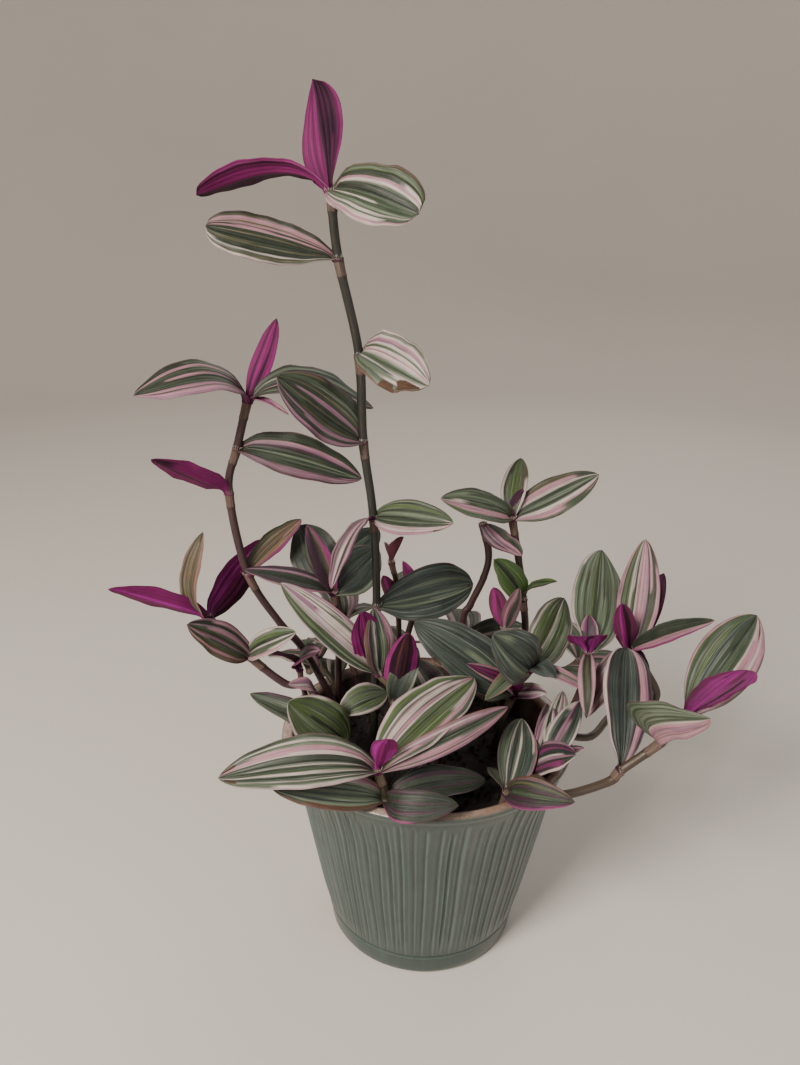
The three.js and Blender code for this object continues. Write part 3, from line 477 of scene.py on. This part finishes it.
    def patch(across, along, x0, y0, x1, y1):
        """Places in this blade's window of the bake's map."""
        return net(across, along, left + x0 * wide, low + y0 * high, left + x1 * wide, low + y1 * high)

    a, b, pair = (c[0] + 1) / 2, t[:, 0], np.array([0.0, 1.0])
    heap.weave(over, patch(a, b, 0.05, 0.04, 0.46, 0.96))
    heap.weave(below[:, ::-1], patch(a, b, 0.55, 0.04, 0.96, 0.96)[:, ::-1], 1)
    for first, second, x in ((over[:, -1], below[:, -1], 0.47), (below[:, 0], over[:, 0], 0.51)):
        heap.weave(np.stack([first, second], 1), patch(pair, b, x, 0.04, x + 0.02, 0.96))
    for first, second, y in ((over[0], below[0], 0.005), (below[-1], over[-1], 0.97)):
        heap.weave(np.stack([first, second], 1), patch(a, pair, 0.05, y, 0.46, y + 0.02).transpose(1, 0, 2))


def leaves_of(name, radius, joints, rows):
    heap = Heap()
    dice = seeded(name)
    across = math.ceil(math.sqrt(1.3 * len(rows)))
    down = math.ceil(len(rows) / across)
    for i, row in enumerate(rows):
        window = ((i % across) / across, (i // across) / down, 1 / across, 1 / down)
        leaf(heap, joints, radius, row, window, dice)
    return heap.piece(name + "_leaves", [LEAF_UPPER, LEAF_UNDER], "leafy_stem", name)


# ---- stalks ----
SIDES = 14
STEP = 1.3  # mm from one ring of points to the next
SHEATH = 9  # length in mm of the sheath below each leaf
KNOT_LENGTH = 0.9  # mm


def curve_at(joints, place):
    """A place on the smooth curve through the joints, and its direction."""
    points = np.array(joints, float)
    points = np.concatenate([[2 * points[0] - points[1]], points, [2 * points[-1] - points[-2]]])
    k = min(int(place), len(joints) - 2)
    t = place - k
    p0, p1, p2, p3 = points[k:k + 4]
    m1, m2 = (p2 - p0) / 2, (p3 - p1) / 2
    a, b = 2 * p1 - 2 * p2 + m1 + m2, -3 * p1 + 3 * p2 - 2 * m1 - m2
    return a * t ** 3 + b * t * t + m1 * t + p1, 3 * a * t * t + 2 * b * t + m1


def bristle(heap, root, way, length, window):
    """A fine hair: a thin cone of three sides."""
    a = unit(np.cross(way, (0.3, 0.5, 0.8)))
    b = np.cross(way, a)
    ring = [a * math.cos(k) + b * math.sin(k) for k in (0, 2.1, 4.2, 0)]
    grid = np.array([[root + thick * r + way * length * up for r in ring]
                     for thick, up in ((0.05, 0), (0.03, 0.6), (0.006, 1))])
    numbers = heap.add(grid, (0.5, 0.4, 0.38), (0.5, 0.5, 0, 0.5))
    heap.weave(numbers, net(np.linspace(0, 1, 4), np.linspace(0, 1, 3), *window), 1)


def stalk_of(name, radius, joints, kind, rows):
    heap = Heap()
    dice = seeded(name + "stalk")
    bearing = {row[0] for row in rows}
    skin, shade, wrap = SKINS[kind]
    stations = []  # place, radius, share of sheath, share of knot, run in mm
    run = 0.0
    last = len(joints) - 1
    for joint in range(last):
        length = float(np.linalg.norm(np.subtract(joints[joint + 1], joints[joint])))
        sheath = min(SHEATH, 0.6 * length) if joint + 1 in bearing else 0
        steps = max(6, int(length / STEP))
        marks = {i / steps for i in range(steps)}
        if sheath:
            marks |= {1 - sheath / length * s for s in (1.1, 1.04, 0.98, 0.02)} | {0.9995}
        for m in sorted(marks):
            gap = (1 - m) * length  # mm to the joint above
            inside = sheath and gap < sheath
            share = 1 - gap / sheath if inside else 0
            from_knot = gap - sheath if sheath else length - gap
            knot = math.exp(-(from_knot / KNOT_LENGTH) ** 2)
            after = math.exp(-(length - gap) / 1.2) if joint in bearing and joint else 0
            r = radius * (1.04 + 0.04 * math.sin(run / 9)) + 0.16 * knot + 0.2 * after
            r += 0.1 + 0.3 * share ** 1.5 if inside else 0
            stations.append((joint + m, r, float(bool(inside)), knot, run + m * length))
        run += length
    top = radius + (0.3 if last in bearing else 0)
    stations += [(last, top, 1.0, 0, run), (last + 0.02, top * 0.7, 1.0, 0, run + 0.5),
                 (last + 0.03, 0.05, 1.0, 0, run + 0.7)]
    stations.insert(0, (0, 0.05, 0, 0, 0))
    turn = np.arange(SIDES) / SIDES * 2 * np.pi
    normal = np.array([1.0, 0, 0])
    grid, paint, place, mouths = [], [], [], []
    for where, r, sheathed, knot, far in stations:
        centre, tangent = curve_at(joints, min(where, last))
        tangent = unit(tangent)
        centre = centre + tangent * max(0, where - last) * 30
        normal = unit(normal - tangent * (normal @ tangent))
        across = np.cross(tangent, normal)
        ways = np.cos(turn)[:, None] * normal + np.sin(turn)[:, None] * across
        grid.append(centre + ways * r)
        # Painted light: the skin is painted in its lit tone where it faces up towards the key lamp and in its shaded
        # tone where it faces down.
        lit = np.clip(0.5 + 0.7 * (ways @ np.array([-0.3, -0.3, 0.9])), 0, 1)
        colour = blended(np.broadcast_to(shade, (SIDES, 3)), skin, lit)
        colour = blended(colour, wrap, np.full(SIDES, 0.8 * sheathed))
        paint.append(blended(colour, KNOT, np.full(SIDES, 0.75 * knot)))
        place.append(np.stack(np.broadcast_arrays(
            0.5 + 0.5 * np.cos(turn), 0.5 + 0.5 * np.sin(turn), far / 100, sheathed), 1))
        if sheathed and abs(where - round(where)) < 0.001 and round(where) in bearing:
            mouths.append((centre, tangent, ways, r))
    numbers = closed(heap.add(np.array(grid), np.array(paint), np.array(place)))
    far = np.array([row[4] for row in stations]) / max(run + 0.7, 1)
    heap.weave(numbers, net(np.linspace(0, 1, SIDES + 1), far * 0.9999, 0.01, 0.01, 0.8, 0.99))
    hairs = [(centre + way * r * 0.97, unit(tangent + way * dice.uniform(0.1, 0.7) + dice.normal(0, 0.12, 3)))
             for centre, tangent, ways, r in mouths for way in np.repeat(ways, 2, 0)]
    for i, (root, way) in enumerate(hairs):
        low, high = (0.01 + 0.98 * (i + end) / len(hairs) for end in (0, 0.8))
        bristle(heap, root, way, dice.uniform(0.9, 2.0), (0.82, low, 0.99, high))
    return heap.piece(name + "_stalk", [STALK, HAIR], "leafy_stem")


# ---- pot ----
FLUTES = 72
FLUTE_COLUMNS = 14  # columns of points from one ridge to the next
RIDGE_HEIGHT = 0.8  # mm
# The outline, from the middle of the underside round the rim to the middle of the floor inside:
# radius, height, share of bare clay and, in the rim's rows, share of the inner finish.
POT_FOOT = [
    (0.2, 1.2, 0), (44, 1.2, 0), (45.5, 0.1, 0.4), (47.4, 0, 1), (48.4, 0.5, 0.4), (49.4, 1.4, 0),
    (50, 2.6, 0), (50.3, 5, 0), (50.6, 8.5, 0), (50.7, 10.4, 0), (50.7, 10.9, 0), (51.2, 11.3, 0),
    (51.5, 11.8, 0), (51.4, 12.3, 0), (51, 12.7, 0), (51.1, 13.1, 0), (51.4, 13.6, 0)]
WALL_OUTLINE = ((13.4, 51.5), (17, 52.3), (56, 59.9), (90, 66.2), (107, 71.4), (112, 73.6))  # height, radius
WALL_HEIGHTS = (14.2, 14.8, 15.6, 17, 19, 22, 26, 31, 38, 46, 54, 62, 70, 78, 84, 89, 93, 97, 101, 104,
                106.5, 108, 109, 110, 111, 112)
POT_RIM = [
    (74.2, 113, 0, 0), (74.7, 114, 0, 0), (74.9, 114.8, 0, 0), (74.8, 115.5, 0.2, 0), (74.4, 115.9, 0.6, 0),
    (73.8, 116.1, 1, 0.6), (72.6, 116.1, 1, 1), (71, 116, 1, 1), (69.7, 115.7, 0.8, 1), (69, 115, 0.2, 1),
    (68.6, 113.4, 0, 1), (67.3, 109, 0, 1), (65.6, 104, 0, 1), (64, 99, 0, 1), (62, 92, 0, 1), (61, 86, 0, 1),
    (50, 30, 0, 1), (44, 7, 0, 1), (0.2, 7, 0, 1)]


def smooth_outline(rows, z):
    """Radius at height z on the straight stretches through the rows, with their bends eased."""
    heights, radii = zip(*rows)
    near = [np.interp(z + shift, heights, radii) for shift in (-3, -1.5, 0, 1.5, 3)]
    return sum(near) / len(near)


def pot():
    heap = Heap()
    dice = seeded("pot")
    ridges = (np.arange(FLUTES) + dice.uniform(-0.16, 0.16, FLUTES)) / FLUTES * 2 * np.pi
    heights = dice.uniform(0.55, 1.0, FLUTES)
    widths = dice.uniform(0.085, 0.125, FLUTES)
    seconds = np.maximum(dice.uniform(-0.1, 0.7, FLUTES), 0)  # a lower ridge in most of the flutes
    tops = dice.uniform(105, 111.5, FLUTES)
    lean = dice.normal(0, 0.006, FLUTES)
    share = np.linspace(-0.5, 0.5, FLUTE_COLUMNS + 1)[:-1]
    after = np.diff(ridges, append=ridges[0] + 2 * np.pi)[:, None]
    gap = np.where(share < 0, np.roll(after, 1), after)
    turn = (ridges[:, None] + share * gap).ravel()
    off = np.tile(share, FLUTES)
    of = np.repeat(np.arange(FLUTES), FLUTE_COLUMNS)
    ridge = heights[of] * np.exp(-(off / widths[of]) ** 2)
    second = seconds[of] * np.exp(-((np.abs(off) - 0.5) / 0.09) ** 2)
    furrow = 0.5 * np.exp(-((off + 0.2) / 0.08) ** 2)  # on one side of each ridge
    relief = ridge + second - furrow
    stations = [(*row, 0, 0) for row in POT_FOOT]
    for z in WALL_HEIGHTS:
        carved = 0.3 * eased((z - 13.7) / 1.4) + 0.7 * eased((z - 14) / 14)
        stations.append((smooth_outline(WALL_OUTLINE, z), z, 0, 0, carved))
    stations += [(*row, 0) for row in POT_RIM]
    grid, place = [], []
    for r, z, bare, inner, carved in stations:
        share_here = carved * eased((tops[of] - z) / 2.2)
        here = turn + lean[of] * (z - 60) / 50 * carved + 0.002 * np.sin(z / 9 + ridges[of] * 7)
        crest = 0.3 * math.exp(-((z - 11.9) / 0.5) ** 2) - 0.25 * math.exp(-((z - 10.8) / 0.3) ** 2)
        crest -= 0.2 * math.exp(-((z - 13) / 0.5) ** 2) + 0.2 * eased((3 - z) / 2)
        rough = 0.12 * np.sin(3 * here + z / 40) + 0.05 * np.sin(11 * here + z / 13)
        radius = r + RIDGE_HEIGHT * relief * share_here + rough * min(1, r / 40)
        grid.append(np.stack([radius * np.cos(here), radius * np.sin(here), np.full(len(here), z)], 1))
        height = np.clip(0.35 + 0.65 * relief * share_here + crest, 0, 1)  # the glaze is palest on top
        place.append(np.stack(np.broadcast_arrays(height, inner, bare, share_here), 1))
    numbers = closed(heap.add(np.array(grid), (0.3, 0.3, 0.3), np.array(place)))
    walk = np.cumsum([0] + [math.dist(a[:2], b[:2]) for a, b in zip(stations, stations[1:])])
    heap.weave(numbers, net(np.linspace(0, 1, numbers.shape[1]), walk / walk[-1], 0.005, 0.005, 0.995, 0.995))
    return heap.piece("ribbed_pot", [POT_GLAZE], "pot_glaze", "pot")


# ---- soil ----
SOIL_LEVEL = 102
SOIL_COLUMNS = 180
CRUMBS = 620
CRUMBS_DOWN = 40  # rows of crumbs on the bake's map


def soil_height(x, y):
    lumps = 0.9 * np.sin(x / 7.1 + 1.3) * np.cos(y / 6.3 + 0.4) + 0.7 * np.sin(x / 3.1 - y / 3.7 + 2)
    fine = 0.35 * np.sin(x * 1.7 + 0.6) * np.sin(y * 1.9 + 1.1) + 0.25 * np.sin(x * 3.1 - y * 2.3)
    return SOIL_LEVEL + lumps + fine - 1.8 * eased((np.hypot(x, y) - 50) / 14)


def soil():
    heap = Heap()
    dice = seeded("soil")
    turn = np.linspace(0, 2 * np.pi, SOIL_COLUMNS + 1)
    rings = [(0.3, 94), (58, 94), (63.4, 97)]  # its hidden underside, then its top
    rings += [(63.9 * (1 - (i / 44) ** 1.05), None) for i in range(44)] + [(0.3, None)]
    grid = []
    for r, z in rings:
        x, y = r * np.cos(turn[:-1]), r * np.sin(turn[:-1])
        grid.append(np.stack(np.broadcast_arrays(x, y, soil_height(x, y) if z is None else z), 1))
    numbers = closed(heap.add(np.array(grid), (0.04, 0.03, 0.02), (0.5, 0.5, 0, 0)))
    heap.weave(numbers, net(turn / turn[-1], np.linspace(0, 1, len(rings)), 0.005, 0.005, 0.7, 0.995))
    # Loose crumbs and bark chips.
    around = np.linspace(0, 2 * np.pi, 7)[:-1]
    for i in range(CRUMBS):
        r, way = 62 * math.sqrt(dice.random()), dice.uniform(0, 2 * np.pi)
        x, y = r * math.cos(way), r * math.sin(way)
        size = dice.uniform(0.5, 1.9) * (1.5 if dice.random() < 0.12 else 1)
        stretch = dice.uniform(0.5, 1.3, 3) * size
        lumps = []
        for level in (-0.98, -0.5, 0.3, 0.98):
            flat = math.sqrt(1 - level * level)
            lumps.append(np.stack([flat * np.cos(around), flat * np.sin(around), np.full(6, level)], 1)
                         * stretch * (1 + dice.uniform(-0.18, 0.18, (6, 1))))
        spin = np.array(Matrix.Rotation(dice.uniform(0, 6), 3, Vector(dice.normal(0, 1, 3)).normalized()))
        block = np.array(lumps) @ spin.T + np.array([x, y, float(soil_height(x, y)) + 0.35 * size])
        block[..., 2] = np.maximum(block[..., 2], 96)
        numbers = closed(heap.add(block, (0.05, 0.035, 0.025), (0.5, 0.5, dice.random(), 1)))
        left = 0.71 + 0.28 * (i // CRUMBS_DOWN) / math.ceil(CRUMBS / CRUMBS_DOWN)
        low = 0.01 + 0.98 * (i % CRUMBS_DOWN) / CRUMBS_DOWN
        spots = net(np.linspace(0, 1, 7), np.linspace(0, 1, 4), left, low, left + 0.015, low + 0.02)
        heap.weave(numbers, spots)
    return heap.piece("potting_soil", [SOIL], "soil", "soil")


# ---- materials ----
class Wire:
    """A socket of a material's nodes. Sums and products of wires become Math nodes."""

    def __init__(self, tree, socket=None):
        self.tree = tree
        self.socket = socket

    def node(self, kind, settings, sockets, output=0):
        """Adds a node: its settings first, then the values or wires of its sockets."""
        made = self.tree.nodes.new("ShaderNode" + kind)
        for name, value in settings.items():
            if name == "stops":
                ramp = made.color_ramp
                while len(ramp.elements) < len(value):
                    ramp.elements.new(0.5)
                for element, (position, colour) in zip(ramp.elements, value):
                    element.position = position
                    element.color = (*colour, 1)
            else:
                setattr(made, name, value)
        for name, value in sockets.items():
            if isinstance(value, Wire):
                self.tree.links.new(value.socket, made.inputs[name])
            else:
                made.inputs[name].default_value = value
        return Wire(self.tree, made.outputs[output]) if len(made.outputs) else None

    def maths(self, operation, a, b):
        return self.node("Math", {"operation": operation}, {0: a, 1: b})

    def __add__(self, other):
        return self.maths("ADD", self, other)

    __radd__ = __add__

    def __sub__(self, other):
        return self.maths("SUBTRACT", self, other)

    def __rsub__(self, other):
        return self.maths("SUBTRACT", other, self)

    def __mul__(self, other):
        return self.maths("MULTIPLY", self, other)

    __rmul__ = __mul__

    def __pow__(self, other):
        return self.maths("POWER", self, other)

    def above(self, low, high):
        """0 below low, 1 above high, smooth between."""
        return self.node("MapRange", {"interpolation_type": "SMOOTHSTEP"},
                         {"Value": self, "From Min": low, "From Max": high})

    def between(self, a, b, blend="MIX"):
        """The colour a where this wire is 0 and b where it is 1."""
        a, b = (v if isinstance(v, Wire) else (*v, 1) for v in (a, b))
        return self.node("Mix", {"data_type": "RGBA", "blend_type": blend}, {0: self, 6: a, 7: b}, 2)

    def noise(self, scale, detail, rough, place):
        sockets = {"Scale": scale, "Detail": detail, "Roughness": rough, "Vector": place}
        return self.node("TexNoise", {}, sockets)

    def room(self):
        """The place on the object, in metres."""
        return self.node("TexCoord", {}, {}, 3)

    def painted(self, name):
        """A painted attribute, as a colour."""
        return self.node("Attribute", {"attribute_name": name}, {})

    def split(self):
        """The three parts of a colour or a place."""
        return [self.node("SeparateXYZ", {}, {0: self}, k) for k in range(3)]

    def parts(self, name):
        """The three parts of a painted attribute, and its fourth."""
        colour = self.painted(name)
        return colour.split() + [Wire(self.tree, colour.socket.node.outputs["Alpha"])]

    def vector(self, x, y, z):
        return self.node("CombineXYZ", {}, {0: x, 1: y, 2: z})

    def bump(self, height, distance, strength=1.0):
        return self.node("Bump", {}, {"Height": height, "Distance": distance, "Strength": strength})


def material(name, recipe):
    """A material whose recipe gives the sockets of its shader."""
    made = bpy.data.materials.new(name)
    made.use_nodes = True
    made.node_tree.nodes.clear()
    wire = Wire(made.node_tree)
    surface = wire.node("BsdfPrincipled", {}, recipe(wire))
    wire.node("OutputMaterial", {}, {"Surface": surface})
    return made


def leaf_finish(wire, under):
    paint, room = wire.painted("paint"), wire.room()
    across, along, dry, seed = wire.parts("place")
    streak = wire.noise(1.0, 3, 0.6, wire.vector(across * 36, along * 1.5, seed * 90))
    fine = wire.noise(1.0, 2, 0.5, wire.vector(across * 84, along * 1.2, seed * 70 + 9))
    cells = wire.noise(2200, 2, 0.6, room)
    cloud = wire.noise(150, 2, 0.5, room)
    if under:  # lighter and darker threads of its own purple
        how, streaks, threads = "MULTIPLY", 0.25, 0.2
        tints = (1.7, 1.7, 1.7), (0.3, 0.25, 0.32), (1.5, 1.5, 1.5), (0.4, 0.3, 0.4)
        haze, dull, gloss = (0.08, 0.008, 0.05), 0.5, 0.22
    else:  # pale and deep green threads, the pale ones bolder where the blade is green or white
        fresh = wire.node("SeparateColor", {}, {0: paint}, 1).above(0.01, 0.05)
        how, streaks, threads = "MIX", 0.07 + 0.27 * fresh, 0.05 + 0.19 * fresh
        tints = (0.3, 0.3, 0.26), (0.024, 0.032, 0.022), (0.26, 0.27, 0.23), (0.028, 0.036, 0.024)
        haze, dull, gloss = (0.06, 0.07, 0.048), 0.36, 0.42
    shares = (streak.above(0.55, 0.63) * streaks, (1 - streak).above(0.55, 0.64) * 0.55,
              fine.above(0.55, 0.66) * threads, (1 - fine).above(0.55, 0.66) * 0.32)
    colour = paint
    for share, tint in zip(shares, tints):
        colour = share.between(colour, tint, how)
    colour = (cloud.above(0.4, 0.7) * 0.16).between(colour, haze)
    if not under:
        colour = (cells.above(0.5, 0.8) * 0.04).between(colour, (0.6, 0.56, 0.54))
    ragged = (dry + (wire.noise(420, 4, 0.7, room) - 0.5) * 0.9 * (1 - (1 - dry) ** 6)).above(0.3, 0.6)
    crisp = wire.noise(500, 3, 0.6, room).between((0.018, 0.008, 0.005), (0.1, 0.045, 0.022))
    height = fine * 0.5 + streak * 0.4 + cells * 0.15 + ragged * wire.noise(700, 2, 0.5, room)
    return {"Base Color": ragged.between(colour, crisp), "Specular IOR Level": gloss,
            "Roughness": dull + 0.14 * cells + 0.1 * fine + 0.3 * ragged,
            "Normal": wire.bump(height, 0.0004, 0.8)}


def stalk_finish(wire):
    paint, room = wire.painted("paint"), wire.room()
    x, y, far, sheath = wire.parts("place")
    streak = wire.noise(1.0, 3, 0.6, wire.vector(x * 9, y * 9, far * 12))
    ribs = wire.noise(1.0, 2, 0.5, wire.vector(x * 22, y * 22, far * 8))
    flecks = wire.noise(900, 2, 0.6, room)
    colour = (streak.above(0.5, 0.7) * 0.3).between(paint, (0.09, 0.076, 0.045))
    colour = ((1 - streak).above(0.55, 0.75) * 0.5).between(colour, (0.026, 0.012, 0.012))
    colour = (sheath * ribs.above(0.5, 0.62) * 0.5).between(colour, (0.26, 0.18, 0.14))
    colour = (flecks.above(0.62, 0.74) * 0.35).between(colour, (0.15, 0.055, 0.055))
    rough = 0.34 + 0.22 * sheath + 0.16 * flecks
    return {"Base Color": colour, "Roughness": rough,
            "Normal": wire.bump(ribs * (0.4 + sheath) + flecks * 0.2, 0.00025, 0.8)}


def hair_finish(wire):
    tint = wire.noise(600, 2, 0.5, wire.room())
    return {"Base Color": tint.between((0.62, 0.5, 0.46), (0.8, 0.74, 0.7)), "Roughness": 0.4 + 0.2 * tint,
            "Normal": wire.bump(tint, 0.00005)}


def glaze_finish(wire):
    relief, inner, bare, _ = wire.parts("place")
    room = wire.room()
    x, y, z = room.split()
    runs = wire.noise(1.0, 4, 0.6, wire.vector(x * 420, y * 420, z * 26))
    cloud = wire.noise(38, 4, 0.6, room)
    grain = wire.noise(900, 3, 0.6, room)
    pits = wire.node("TexVoronoi", {}, {"Scale": 340.0, "Vector": room})
    colour = wire.node("ValToRGB", {"stops": [
        (0.0, (0.008, 0.017, 0.015)), (0.22, (0.018, 0.034, 0.031)), (0.4, (0.028, 0.05, 0.045)),
        (0.85, (0.066, 0.108, 0.1))]}, {0: relief})
    colour = (runs.above(0.5, 0.72) * 0.3).between(colour, (0.046, 0.078, 0.072))
    colour = ((1 - runs).above(0.52, 0.7) * 0.45).between(colour, (0.013, 0.026, 0.023))
    colour = (cloud.above(0.45, 0.75) * 0.4).between(colour, (0.03, 0.046, 0.036))
    colour = ((1 - pits).above(0.93, 0.97) * 0.5).between(colour, (0.02, 0.026, 0.02))
    # Inside, the lining is painted dark below its lip: soil stain with painted shade in the pot's hollow.
    stain_and_shade = cloud.between((0.06, 0.04, 0.03), (0.02, 0.013, 0.009))
    lip_over_shaded_wall = z.above(0.112, 0.1145).between(stain_and_shade, (0.26, 0.17, 0.13))
    lining = (grain.above(0.5, 0.7) * 0.35).between(lip_over_shaded_wall, (0.12, 0.08, 0.055))
    colour = inner.between(colour, lining)
    # Painted light: the bare rim is painted pale cream on its left, lit side and dark brown on its right side as
    # painted shade; its grains are bare clay.
    side = (x * 9 + wire.noise(14, 2, 0.5, room) * 0.7).above(0.1, 0.6)
    edge = side.between((0.56, 0.42, 0.36), (0.24, 0.15, 0.1))
    edge = (grain.above(0.42, 0.6) * 0.5).between(edge, (0.12, 0.08, 0.055))
    colour = (bare * 0.85).between(colour, edge)
    rough = 0.24 + 0.16 * cloud + 0.1 * grain + 0.1 * (1 - relief)
    height = runs * 0.5 * (1 - inner) + grain * 0.25 + cloud * 0.5
    return {"Base Color": colour, "Roughness": rough, "Coat Weight": 0.5, "Coat Roughness": 0.1,
            "Normal": wire.bump(height, 0.0004, 0.55)}


def soil_finish(wire):
    _, _, shade, loose = wire.parts("place")
    room = wire.room()
    grain, clod = wire.noise(1400, 4, 0.7, room), wire.noise(160, 4, 0.65, room)
    # Painted shade: the soil is painted near black, its own dark tone deepened as the shade under the leaves.
    colour = clod.between((0.005, 0.003, 0.003), (0.016, 0.01, 0.007))
    colour = (grain.above(0.5, 0.7) * 0.6).between(colour, (0.03, 0.019, 0.013))
    colour = (loose * shade.above(0.55, 1.0) * 0.5).between(colour, (0.05, 0.03, 0.02))
    return {"Base Color": colour, "Roughness": 0.8 + 0.18 * grain,
            "Normal": wire.bump(grain + clod, 0.0012, 0.9)}


def floor_finish(wire):
    room = wire.room()
    cloud, grain = wire.noise(3, 3, 0.5, room), wire.noise(600, 2, 0.5, room)
    return {"Base Color": cloud.between((0.62, 0.58, 0.53), (0.66, 0.62, 0.57)),
            "Roughness": 0.5 + 0.2 * grain, "Normal": wire.bump(grain, 0.0001, 0.2)}


LEAF_UPPER = material("leaf_upper", lambda wire: leaf_finish(wire, False))
LEAF_UNDER = material("leaf_underside", lambda wire: leaf_finish(wire, True))
STALK = material("stalk_skin", stalk_finish)
HAIR = material("sheath_hair", hair_finish)
POT_GLAZE = material("celadon_glaze", glaze_finish)
SOIL = material("potting_soil", soil_finish)
FLOOR = material("pale_floor", floor_finish)

# ---- the object ----
pot()
soil()
for name, radius, joints, kind, rows in STEMS:
    stalk_of(name, radius, joints, kind, rows)
    leaves_of(name, radius, joints, rows)


# ---- stage ----
LAMP_AIM = (0, 0, 0.2)
VIEW_PLACE = (-0.0159, -0.3824, 0.3632)
VIEW_PITCH, VIEW_ROLL = 20.1, -1.14  # degrees down, and tilted
FOCAL, FRAME_WIDTH = 850, 800  # in the photo's pixels
SENSOR = 36  # mm


def floor():
    """A pale floor that rises into a round cove far behind the object, alike from all sides."""
    heap = Heap()
    turn = np.linspace(0, 2 * np.pi, 97)
    rise = np.linspace(0, np.pi / 2, 17)
    level, flat, bend = -0.2, 1500, 900  # mm
    rings = [(0, level), (300, level), (1000, level)]
    rings += [(flat + bend * math.sin(k), bend * (1 - math.cos(k)) + level) for k in rise]
    rings += [(flat + bend, 1400), (flat + bend, 2200)]
    grid = np.array([[(r * math.cos(k), r * math.sin(k), z) for k in turn] for r, z in rings])
    numbers = heap.add(grid[::-1], (0.6, 0.6, 0.6), (0, 0, 0, 0))
    heap.weave(numbers, net(np.linspace(0, 1, 97), np.linspace(0, 1, len(rings)), 0, 0, 1, 1))
    heap.piece("floor", [FLOOR])


def lamp(name, place, size, watts, colour):
    light = bpy.data.lights.new(name, "AREA")
    light.size, light.energy, light.color = size, watts, colour
    made = placed(name, light)
    made.location = place
    made.rotation_euler = (Vector(LAMP_AIM) - Vector(place)).to_track_quat("-Z", "Y").to_euler()


def camera():
    """Looks from the photo's own viewing angle."""
    lens = bpy.data.cameras.new("camera")
    lens.sensor_fit, lens.sensor_width, lens.lens = "HORIZONTAL", SENSOR, SENSOR * FOCAL / FRAME_WIDTH
    lens.clip_start, lens.clip_end = 0.01, 50
    made = placed("camera", lens)
    pitch = Matrix.Rotation(math.radians(90 - VIEW_PITCH), 4, "X")
    roll = Matrix.Rotation(math.radians(-VIEW_ROLL), 4, "Z")
    made.matrix_world = Matrix.Translation(VIEW_PLACE) @ pitch @ roll
    bpy.context.scene.camera = made


floor()
camera()
lamp("key", (-0.75, -0.95, 1.05), 0.5, 36, (1, 0.93, 0.84))
lamp("fill", (1.1, -0.9, 0.8), 1.0, 5, (0.9, 0.95, 1))
lamp("back", (0.5, 1.2, 1.2), 1.0, 6, (1, 0.98, 0.95))
world = bpy.data.worlds.new("studio")
world.use_nodes = True
sky = world.node_tree.nodes["Background"].inputs
sky["Color"].default_value, sky["Strength"].default_value = (0.62, 0.58, 0.53, 1), 0.42
bpy.context.scene.world = world
